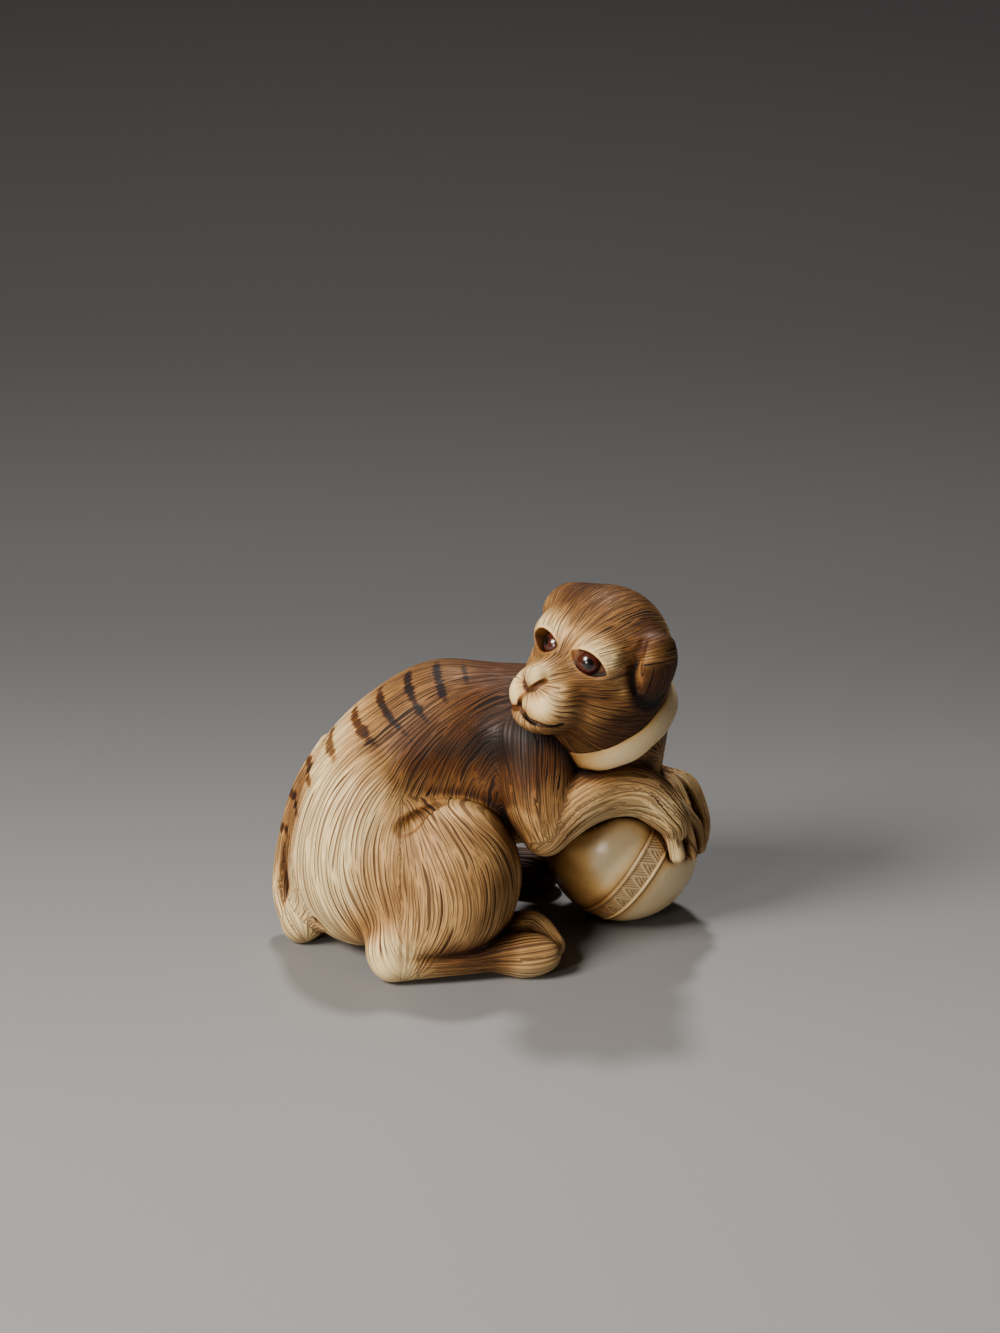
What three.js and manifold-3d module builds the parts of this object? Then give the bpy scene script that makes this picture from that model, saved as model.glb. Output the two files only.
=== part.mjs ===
// Netsuke: a carved ivory puppy that crouches with its forepaws over a ball.
// Millimetres, +Z up, +X to the right, +Y away from the viewer, flat rest plane Z = 0.
// The carving is one solid. It is described as a field (distance to the surface) built from
// ellipsoids, tapered limbs and soft joins, then skinned, thinned and cut flat underneath.
import * as THREE from "three";
import Module from "manifold-3d";

// ---------- driving dimensions ----------
const CELL = 0.4; // sampling pitch of the skin
const TRIANGLES = 8900; // budget for the carving's faces
const MOST_TURN = 0.35; // cosine of the most a face may turn as the skin is thinned
const LEAST_WIDTH = 0.12; // twice a face's area over its longest side squared, at the least
const SLIVER = 0.01; // shorter edges are dropped at the end

const SKULL = { at: [10.4, 0.3, 29.2], radii: [6.4, 6.4, 6.65], yaw: 45, pitch: 3, roll: 10 };
const ASKEW = 0.28; // brow and cheeks sit this far to one side of the nose
const EYE = { bead: 1.3, sunk: 1.2, gap: 0.05, pocket: 0.55 };
const LIDS = {
  eye_left: { at: [5.85, 3.15, 1.95], long: 1.95, tall: 1.0 }, // half lengths of the almond
  eye_right: { at: [5.9, -2.3, 1.75], long: 1.5, tall: 1.0 },
};
const NOSE = { at: [9.1, 0, -0.1], radii: [1.0, 1.0, 0.95] };
const NEAR_EAR = { at: [-0.25, 6.2, 1.4], radii: [2.45, 1.25, 3.3] };
const FAR_EAR = { at: [0.2, -5.75, 0.3], radii: [2.4, 1.25, 4.0] };
const COLLAR = {
  at: [11.0, 1.5, 23.0],
  axis: [-0.4, -0.34, 0.86],
  radius: 5.45,
  half: [0.5, 0.9], // half its thickness and width, before rounding
  round: 0.5,
};
const BALL = { at: [12.4, 6.4, 7.08], radius: 7.3 };
const SEAT = { at: [-12.0, 4.5, 6.2], radii: [5.5, 7.0, 6.4] };
const HEEL_R = 2.3;
const CORD_HOLES = { wide: 1.9, narrow: 1.4, from: -14.3, to: -8.4, y: 4.5, rise: 5.2 };
const JOIN = 0.45; // softness where ball, collar and head meet the rest

// ---------- field helpers ----------
const rad = (deg) => (deg * Math.PI) / 180;
const clamp01 = (t) => Math.min(1, Math.max(0, t));
const ease = (x, a, b) => {
  const t = clamp01((x - a) / (b - a));
  return t * t * (3 - 2 * t);
};
const join = (a, b, k) => {
  const h = Math.max(k - Math.abs(a - b), 0) / k;
  return Math.min(a, b) - h * h * k * 0.25;
};
const carve = (a, b, k) => -join(-a, b, k); // a without b

const sphere = ([cx, cy, cz], r) => (x, y, z) => Math.hypot(x - cx, y - cy, z - cz) - r;

const egg = ([cx, cy, cz], [rx, ry, rz], axes) => (x, y, z) => {
  let a = x - cx,
    b = y - cy,
    c = z - cz;
  if (axes) {
    const [u, v, w] = axes;
    [a, b, c] = [
      a * u[0] + b * u[1] + c * u[2],
      a * v[0] + b * v[1] + c * v[2],
      a * w[0] + b * w[1] + c * w[2],
    ];
  }
  const k0 = Math.hypot(a / rx, b / ry, c / rz);
  const k1 = Math.hypot(a / (rx * rx), b / (ry * ry), c / (rz * rz)) + 1e-9;
  return (k0 * (k0 - 1)) / k1;
};

// a bone: two spheres and the cone that touches both
const bone = (a, b, ra, rb) => {
  const [bx, by, bz] = [b[0] - a[0], b[1] - a[1], b[2] - a[2]];
  const l2 = bx * bx + by * by + bz * bz,
    rr = ra - rb,
    a2 = l2 - rr * rr,
    il2 = 1 / l2;
  if (a2 <= 0) return ra > rb ? sphere(a, ra) : sphere(b, rb);
  return (x, y, z) => {
    const px = x - a[0],
      py = y - a[1],
      pz = z - a[2];
    const t = px * bx + py * by + pz * bz,
      s = t - l2;
    const dx = px * l2 - bx * t,
      dy = py * l2 - by * t,
      dz = pz * l2 - bz * t;
    const x2 = dx * dx + dy * dy + dz * dz,
      y2 = t * t * l2,
      z2 = s * s * l2;
    const k = Math.sign(rr) * rr * rr * x2;
    if (Math.sign(s) * a2 * z2 > k) return Math.sqrt(x2 + z2) * il2 - rb;
    if (Math.sign(t) * a2 * y2 < k) return Math.sqrt(x2 + y2) * il2 - ra;
    return (Math.sqrt(x2 * a2 * il2) + t * rr) * il2 - ra;
  };
};

// a limb: a smooth path through its joints, thick and thin as its radii say
const limb = (joints, radii, steps = 6) => {
  const at = (i) => {
    const k = Math.min(joints.length - 1, Math.max(0, i));
    return [...joints[k], radii[k]];
  };
  const path = [];
  for (let i = 0; i < joints.length - 1; i++) {
    const [p0, p1, p2, p3] = [at(i - 1), at(i), at(i + 1), at(i + 2)];
    for (let s = 0; s < steps; s++) {
      const t = s / steps;
      path.push(
        p1.map(
          (_, c) =>
            0.5 *
            (2 * p1[c] +
              (p2[c] - p0[c]) * t +
              (2 * p0[c] - 5 * p1[c] + 4 * p2[c] - p3[c]) * t * t +
              (3 * p1[c] - p0[c] - 3 * p2[c] + p3[c]) * t * t * t),
        ),
      );
    }
  }
  path.push(at(joints.length - 1));
  const bones = [];
  for (let i = 0; i < path.length - 1; i++) {
    bones.push(bone(path[i], path[i + 1], path[i][3], path[i + 1][3]));
  }
  const lo = [0, 1, 2].map((c) => Math.min(...path.map((p) => p[c] - p[3])));
  const hi = [0, 1, 2].map((c) => Math.max(...path.map((p) => p[c] + p[3])));
  return (x, y, z) => {
    // far from the limb its box is near enough
    const far = Math.hypot(
      Math.max(lo[0] - x, 0, x - hi[0]),
      Math.max(lo[1] - y, 0, y - hi[1]),
      Math.max(lo[2] - z, 0, z - hi[2]),
    );
    if (far > 5) return far;
    let d = Infinity;
    for (const f of bones) d = Math.min(d, f(x, y, z));
    return d;
  };
};

// ---------- the head, in its own frame: f to the nose, s to its left, u to its crown ----------
const cross = (a, b) => [a[1] * b[2] - a[2] * b[1], a[2] * b[0] - a[0] * b[2], a[0] * b[1] - a[1] * b[0]];
const dot = (a, b) => a[0] * b[0] + a[1] * b[1] + a[2] * b[2];
const unit = (a) => {
  const l = Math.hypot(...a);
  return a.map((c) => c / l);
};
const [Y, P, R] = [SKULL.yaw, SKULL.pitch, SKULL.roll].map(rad);
const faceF = [-Math.sin(Y) * Math.cos(P), -Math.cos(Y) * Math.cos(P), Math.sin(P)];
const sideF = [Math.cos(Y), -Math.sin(Y), 0];
const crownF = cross(faceF, sideF);
const F = faceF;
const S = sideF.map((c, i) => c * Math.cos(R) - crownF[i] * Math.sin(R));
const U = crownF.map((c, i) => c * Math.cos(R) + sideF[i] * Math.sin(R));
const headToWorld = ([f, s, u]) => SKULL.at.map((c, i) => c + f * F[i] + s * S[i] + u * U[i]);

const eyeOut = unit([0.8, 0.52, 0.28]);
const eyeAlong = unit([-0.5, 0.79, -0.3].map((c, i, v) => c - dot(v, eyeOut) * eyeOut[i]));
const eyeUp = cross(eyeOut, eyeAlong);
// each eye looks out to its own side
const eyeAxes = ({ at }) => [eyeOut, eyeAlong, eyeUp].map(([f, s, u]) => [f, s * Math.sign(at[1]), u]);
const beadAt = (lids) => lids.at.map((c, i) => c - EYE.sunk * eyeAxes(lids)[0][i]);

// the pocket of an eye: a lens between two arcs, sunk into the face
const almond = (lids) => {
  const [out, along, up] = eyeAxes(lids);
  const { at, long, tall } = lids;
  const arc = (long * long + tall * tall) / (2 * tall);
  return (f, s, u) => {
    const q = [f - at[0], s - at[1], u - at[2]];
    const t = dot(q, along),
      w = dot(q, up);
    const lens = Math.max(Math.hypot(t, w - arc + tall), Math.hypot(t, w + arc - tall)) - arc;
    return Math.max(lens, -dot(q, out) - EYE.pocket);
  };
};

const skull = egg([-0.2, -0.2, -0.2], SKULL.radii);
const jowls = egg([0.2, 0.1, -4.05], [6.1, 6.4, 6.3]);
const cheek = egg([3.2, 2.3, -2.9], [3.5, 3.1, 3.2]);
const brow = egg([4.3, 2.7, 1.9], [1.9, 2.3, 2.0]);
const muzzle = egg([5.4, 0.1, -2.6], [4.6, 3.5, 3.5]);
const lips = egg([7.6, 1.55, -2.5], [2.5, 1.9, 2.1]);
const chin = egg([7.3, -0.1, -4.5], [2.7, 2.8, 1.6]);
const bridge = egg([7.3, 0.05, -0.4], [2.5, 1.2, 1.25]);
const nose = egg(NOSE.at, NOSE.radii);
const pockets = Object.values(LIDS).map(almond);
const mouth = [
  limb(
    [[10.0, -0.5, -3.4], [9.6, 0.67, -4.1], [9.45, 1.8, -4.1], [8.75, 2.7, -4.0], [8.2, 3.15, -3.75]],
    [0.3, 0.3, 0.3, 0.3, 0.3],
    4,
  ),
  limb([[10.0, -0.5, -3.4], [9.8, -1.6, -4.0], [8.8, -2.9, -4.3]], [0.3, 0.3, 0.3], 4),
];
const nearEar = egg(NEAR_EAR.at, NEAR_EAR.radii);
const farEar = egg(FAR_EAR.at, FAR_EAR.radii);
const earCrease = limb(
  [[1.4, 5.4, 4.2], [2.2, 5.8, 2.6], [2.35, 6.1, 1.0], [1.9, 6.2, -0.4]],
  [0.15, 0.35, 0.4, 0.2],
  4,
);

function head(x, y, z) {
  const d0 = [x - SKULL.at[0], y - SKULL.at[1], z - SKULL.at[2]];
  const f = dot(d0, F),
    s = dot(d0, S),
    u = dot(d0, U);
  const far = Math.hypot(f, s, u) - 12.5;
  if (far > 2) return far;
  const m = Math.abs(s - ASKEW);
  let d = skull(f, s, u);
  d = join(d, jowls(f, s, u), 2.0);
  d = join(d, brow(f, m, u), 1.4);
  d = join(d, cheek(f, m, u), 1.4);
  d = join(d, muzzle(f, s, u), 1.5);
  d = join(d, lips(f, m, u), 0.9);
  d = join(d, chin(f, s, u), 0.6);
  d = join(d, bridge(f, s, u), 1.2);
  d = join(d, nose(f, s, u), 0.4);
  for (const line of mouth) d = carve(d, line(f, s, u), 0.5);
  for (const pocket of pockets) d = carve(d, pocket(f, s, u), 0.2);
  d = join(d, nearEar(f, s, u), 0.45 + 2.2 * ease(u, 2.2, 4.4));
  d = carve(d, earCrease(f, s, u), 0.5);
  return join(d, farEar(f, s, u), 0.45 + 2.6 * ease(u, 0.6, 3.4));
}

// ---------- body ----------
const rump = egg([-10.3, 3.8, 12.3], [7.4, 9.2, 9.4]);
const croup = egg([-12.8, 3.2, 7.0], [6.3, 8.0, 6.3]);
const seat = egg(SEAT.at, SEAT.radii);
const loins = egg([-4.0, 4.8, 17.0], [9.2, 7.8, 9.5]);
const shoulders = egg([4.5, 4.6, 17.5], [7.3, 7.2, 8.4]);
const neck = bone([9.5, 7.6, 15.0], [11.1, 2.2, 24.5], 6.6, 5.8);
const flankHollow = egg([-3.6, -5.2, 18.2], [5.0, 2.4, 3.2]);
const haunch = egg([-11.5, -0.2, 9.9], [6.7, 7.8, 8.9]);
const thigh = egg([-3.7, -4.6, 8.9], [6.4, 6.2, 7.4]);
const shank = bone([-9.55, -8.4, 2.85], [-3.6, -7.0, 7.0], HEEL_R, 4.2);
const thighPit = limb(
  [[-8.4, -6.9, 14.7], [-7.5, -6.2, 14.9], [-6.2, -5.3, 15.6], [-4.8, -4.5, 16.2]],
  [0.5, 0.65, 0.4, 0.2],
  4,
);

function trunk(x, y, z) {
  let d = join(rump(x, y, z), croup(x, y, z), 3);
  d = join(d, seat(x, y, z), 1.5);
  d = join(d, loins(x, y, z), 4);
  d = join(d, shoulders(x, y, z), 4);
  d = join(d, neck(x, y, z), 2.5);
  d = carve(d, flankHollow(x, y, z), 2);
  const leg = join(join(thigh(x, y, z), shank(x, y, z), 2.4), haunch(x, y, z), 3.2);
  d = join(d, leg, 0.6 + 4 * ease(-x, 8, 13));
  return carve(d, thighPit(x, y, z), 0.7);
}

// ---------- limbs, tail, collar ----------
const nearFoot = [
  [limb([[-9.3, -8.7, 2.3], [-4.8, -8.8, 2.0], [0.6, -7.7, 2.3]], [HEEL_R, 1.5, 1.7]), 0],
  [egg([3.0, -7.6, 2.05], [3.4, 2.0, 2.15]), 0.8],
  [limb([[0.6, -5.2, 3.3], [3.5, -4.6, 3.5], [5.5, -5.8, 2.2]], [1.4, 1.6, 1.3]), 0.4],
];
const farLeg = [
  [egg([-5.0, 11.0, 7.8], [6.8, 4.4, 7.6]), 0],
  [limb([[-9.5, 12.6, 2.2], [-3.0, 13.0, 2.1], [4.6, 11.8, 2.0]], [HEEL_R, 1.8, 2.1]), 1.5],
];
const digit = (joints, radii) => [limb(joints, radii), 0.2];
const nearArm = [
  [limb([[4.1, -0.6, 19.6], [4.3, -2.6, 15.5], [4.9, -3.6, 12.9]], [3.9, 3.2, 2.1], 8), 0],
  [
    limb(
      [
        [4.9, -3.6, 12.7],
        [7.7, -2.3, 15.35],
        [10.8, -0.6, 16.05],
        [14.0, 0.0, 15.35],
        [16.6, 0.2, 13.0],
        [17.2, 0.7, 11.3],
      ],
      [2.1, 2.75, 2.85, 2.45, 1.9, 1.3],
    ),
    0.5,
  ],
  [limb([[6.5, -0.6, 12.6], [10.8, 2.0, 14.2], [15.0, 2.4, 13.4]], [1.8, 2.0, 1.8]), 0.8],
  digit([[16.1, -0.3, 12.8], [16.9, 0.35, 10.8], [17.45, 0.5, 8.6]], [1.1, 0.8, 0.78]),
  digit([[16.9, 0.6, 12.9], [18.3, 1.7, 10.6], [18.8, 1.9, 8.1]], [1.1, 0.7, 0.65]),
  digit([[17.3, 1.5, 12.9], [19.2, 3.1, 10.6], [19.6, 3.2, 8.4]], [1.1, 0.64, 0.58]),
];
const farArm = [
  [limb([[5.5, 9.5, 18.0], [4.6, 11.6, 14.5], [4.8, 12.4, 11.8]], [3.4, 3.2, 2.7]), 0],
  [limb([[5.2, 12.0, 12.0], [9.5, 9.8, 12.4], [13.2, 9.4, 12.6], [16.0, 8.2, 12.4]], [2.6, 2.9, 2.5, 2.0]), 0.8],
  digit([[15.9, 7.0, 13.0], [17.2, 4.6, 13.8], [18.0, 3.0, 12.6]], [1.6, 0.9, 0.8]),
  digit([[16.4, 7.4, 13.0], [18.3, 5.6, 13.4], [19.8, 4.4, 10.6], [19.9, 4.2, 8.8]], [1.6, 1.0, 0.8, 0.7]),
  digit([[16.4, 7.8, 12.9], [18.6, 6.9, 12.9], [20.0, 6.0, 9.7], [19.7, 5.6, 7.2]], [1.6, 1.1, 0.8, 0.7]),
  digit([[16.4, 8.4, 12.6], [18.3, 8.7, 12.0], [19.4, 8.3, 9.2], [19.1, 8.0, 7.2]], [1.6, 1.1, 0.85, 0.75]),
];
const tailRoot = limb([[-13.8, 0.6, 9.5], [-16.4, 0.0, 4.8], [-18.2, -0.1, 1.9]], [4.6, 3.0, 1.95]);
const tailTip = limb(
  [[-18.7, 0.3, 1.9], [-19.95, 2.4, 4.4], [-19.3, 3.4, 9.4], [-17.9, 4.0, 14.4], [-15.7, 4.5, 18.6]],
  [1.5, 1.1, 1.1, 1.0, 0.7],
);
const tailGroove = limb(
  [
    [-15.3, 4.0, 20.2],
    [-17.3, 2.0, 17.7],
    [-18.9, 0.6, 13.8],
    [-19.5, 0.2, 9.3],
    [-19.6, 1.2, 5.2],
    [-20.0, 0.9, 3.7],
  ],
  [0.3, 0.5, 0.55, 0.55, 0.5, 0.2],
);
const tailNotch = limb(
  [[-16.4, -3.7, 5.0], [-16.3, -3.7, 3.6], [-16.0, -3.9, 2.0], [-15.8, -3.7, 0.6]],
  [0.15, 0.3, 0.5, 0.7],
);
const gather = (parts) => (x, y, z) => {
  let d = Infinity;
  for (const [f, k] of parts) {
    const v = f(x, y, z);
    d = k > 0 && d < Infinity ? join(d, v, k) : Math.min(d, v);
  }
  return d;
};
const nearFootField = gather(nearFoot),
  farLegField = gather(farLeg),
  nearArmField = gather(nearArm),
  farArmField = gather(farArm);

const collarAxis = unit(COLLAR.axis);
function collar(x, y, z) {
  const q = [x - COLLAR.at[0], y - COLLAR.at[1], z - COLLAR.at[2]];
  const h = dot(q, collarAxis);
  const r = Math.sqrt(Math.max(dot(q, q) - h * h, 0));
  const thick = Math.max(Math.abs(r - COLLAR.radius) - COLLAR.half[0], 0);
  const wide = Math.max(Math.abs(h) - COLLAR.half[1], 0);
  return Math.hypot(thick, wide) - COLLAR.round;
}
const ball = sphere(BALL.at, BALL.radius);

// the pair of cord holes underneath, joined by an arched tunnel
const { wide, narrow, from, to, y: holeY, rise } = CORD_HOLES;
const cordTunnel = limb(
  [
    [from, holeY, -2],
    [from, holeY, rise * 0.45],
    [(from + to) / 2, holeY, rise],
    [to, holeY, rise * 0.45],
    [to, holeY, -2],
  ],
  [wide, wide, narrow, narrow, narrow],
);

function carving(x, y, z) {
  let d = trunk(x, y, z);
  d = join(d, nearFootField(x, y, z), 0.45);
  d = join(d, farLegField(x, y, z), 1.5);
  d = join(d, nearArmField(x, y, z), 0.5 + 2.4 * ease(z, 19, 23));
  d = join(d, farArmField(x, y, z), 0.5);
  d = join(d, tailRoot(x, y, z), 0.45);
  d = carve(d, tailGroove(x, y, z), 0.4);
  d = carve(d, tailNotch(x, y, z), 0.6);
  d = join(d, tailTip(x, y, z), 0.35);
  d = join(d, collar(x, y, z), JOIN);
  d = join(d, head(x, y, z), JOIN);
  d = carve(d, cordTunnel(x, y, z), 0.4);
  return join(d, ball(x, y, z), JOIN);
}

// ---------- skin: one vertex in each cell the surface passes through ----------
function skin(field, lo, hi, h) {
  const n = lo.map((c, i) => Math.ceil((hi[i] - c) / h) + 1);
  const [nx, ny, nz] = n;
  const val = new Float32Array(nx * ny * nz).fill(1);
  const id = (i, j, k) => (i * ny + j) * nz + k;
  const B = 5; // blocks that the surface can't reach are filled from their centre
  for (let i = 0; i < nx; i += B)
    for (let j = 0; j < ny; j += B)
      for (let k = 0; k < nz; k += B) {
        const c = field(lo[0] + (i + B / 2) * h, lo[1] + (j + B / 2) * h, lo[2] + (k + B / 2) * h);
        const near = Math.abs(c) < B * h * 1.9;
        for (let a = i; a < Math.min(i + B, nx); a++)
          for (let b = j; b < Math.min(j + B, ny); b++)
            for (let e = k; e < Math.min(k + B, nz); e++)
              val[id(a, b, e)] = near ? field(lo[0] + a * h, lo[1] + b * h, lo[2] + e * h) : c;
      }
  // where two sheets would meet in one point or edge, the gap between them is filled
  const steps = [id(1, 0, 0), id(0, 1, 0), id(0, 0, 1)];
  const fill = (corners) => {
    const out = corners.filter((c) => val[c] >= 0);
    val[out.reduce((a, b) => (val[b] < val[a] ? b : a))] = -0.2 * h;
  };
  for (let again = true; again; ) {
    again = false;
    for (let i = 1; i < nx - 2; i++)
      for (let j = 1; j < ny - 2; j++)
        for (let k = 1; k < nz - 2; k++) {
          const o = id(i, j, k);
          const far = o + steps[0] + steps[1] + steps[2];
          for (let a = 0; a < 3; a++) {
            const [u, v] = [steps[(a + 1) % 3], steps[(a + 2) % 3]];
            const q = [o, o + u, o + u + v, o + v];
            const g = q.map((c) => val[c] < 0);
            if (g[0] === g[2] && g[1] === g[3] && g[0] !== g[1]) {
              fill(q);
              again = true;
            }
          }
          for (let a = 0; a < 4; a++) {
            const p = a < 3 ? o + steps[a] : o,
              q = a < 3 ? far - steps[a] : far;
            if (val[p] < 0 !== val[q] < 0) continue;
            const all = [o, ...steps.map((c) => o + c), far, ...steps.map((c) => far - c)];
            if (all.every((c) => (c === p || c === q) === (val[c] < 0 === val[p] < 0))) {
              fill(all);
              again = true;
            }
          }
        }
  }
  const cell = new Int32Array(nx * ny * nz).fill(-1);
  const pos = [];
  for (let i = 0; i < nx - 1; i++)
    for (let j = 0; j < ny - 1; j++)
      for (let k = 0; k < nz - 1; k++) {
        let sx = 0,
          sy = 0,
          sz = 0,
          m = 0;
        for (let e = 0; e < 12; e++) {
          const axis = e >> 2,
            o = [e & 1, (e >> 1) & 1];
          const a = axis === 0 ? [0, o[0], o[1]] : axis === 1 ? [o[0], 0, o[1]] : [o[0], o[1], 0];
          const v0 = val[id(i + a[0], j + a[1], k + a[2])];
          const v1 = val[id(i + a[0] + (axis === 0), j + a[1] + (axis === 1), k + a[2] + (axis === 2))];
          if (v0 < 0 === v1 < 0) continue;
          const t = v0 / (v0 - v1);
          sx += a[0] + (axis === 0 ? t : 0);
          sy += a[1] + (axis === 1 ? t : 0);
          sz += a[2] + (axis === 2 ? t : 0);
          m++;
        }
        if (!m) continue;
        cell[id(i, j, k)] = pos.length / 3;
        pos.push(lo[0] + (i + sx / m) * h, lo[1] + (j + sy / m) * h, lo[2] + (k + sz / m) * h);
      }
  const tri = [];
  const quad = (a, b, c, d, flip) => {
    if (flip) [b, d] = [d, b];
    const span = (u, v) => {
      const [dx, dy, dz] = [0, 1, 2].map((t) => pos[3 * u + t] - pos[3 * v + t]);
      return dx * dx + dy * dy + dz * dz;
    };
    if (span(a, c) < span(b, d)) tri.push(a, b, c, a, c, d);
    else tri.push(a, b, d, b, c, d);
  };
  for (let i = 1; i < nx - 1; i++)
    for (let j = 1; j < ny - 1; j++)
      for (let k = 1; k < nz - 1; k++) {
        const o = id(i, j, k);
        const v = val[o] < 0;
        for (let a = 0; a < 3; a++) {
          const [b, c] = [steps[(a + 1) % 3], steps[(a + 2) % 3]];
          if (v !== val[o + steps[a]] < 0) quad(cell[o - b - c], cell[o - c], cell[o], cell[o - b], !v);
        }
      }
  return { pos: Float64Array.from(pos), tri: Int32Array.from(tri) };
}

// pull each vertex onto the surface
function settle(field, pos, reach) {
  const e = 0.02;
  for (let i = 0; i < pos.length; i += 3) {
    const [x, y, z] = [pos[i], pos[i + 1], pos[i + 2]];
    const d = field(x, y, z);
    const g = [
      field(x + e, y, z) - field(x - e, y, z),
      field(x, y + e, z) - field(x, y - e, z),
      field(x, y, z + e) - field(x, y, z - e),
    ].map((c) => c / (2 * e));
    const s = Math.max(-reach, Math.min(reach, d)) / Math.max(dot(g, g), 0.5);
    pos[i] -= g[0] * s;
    pos[i + 1] -= g[1] * s;
    pos[i + 2] -= g[2] * s;
  }
}

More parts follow.
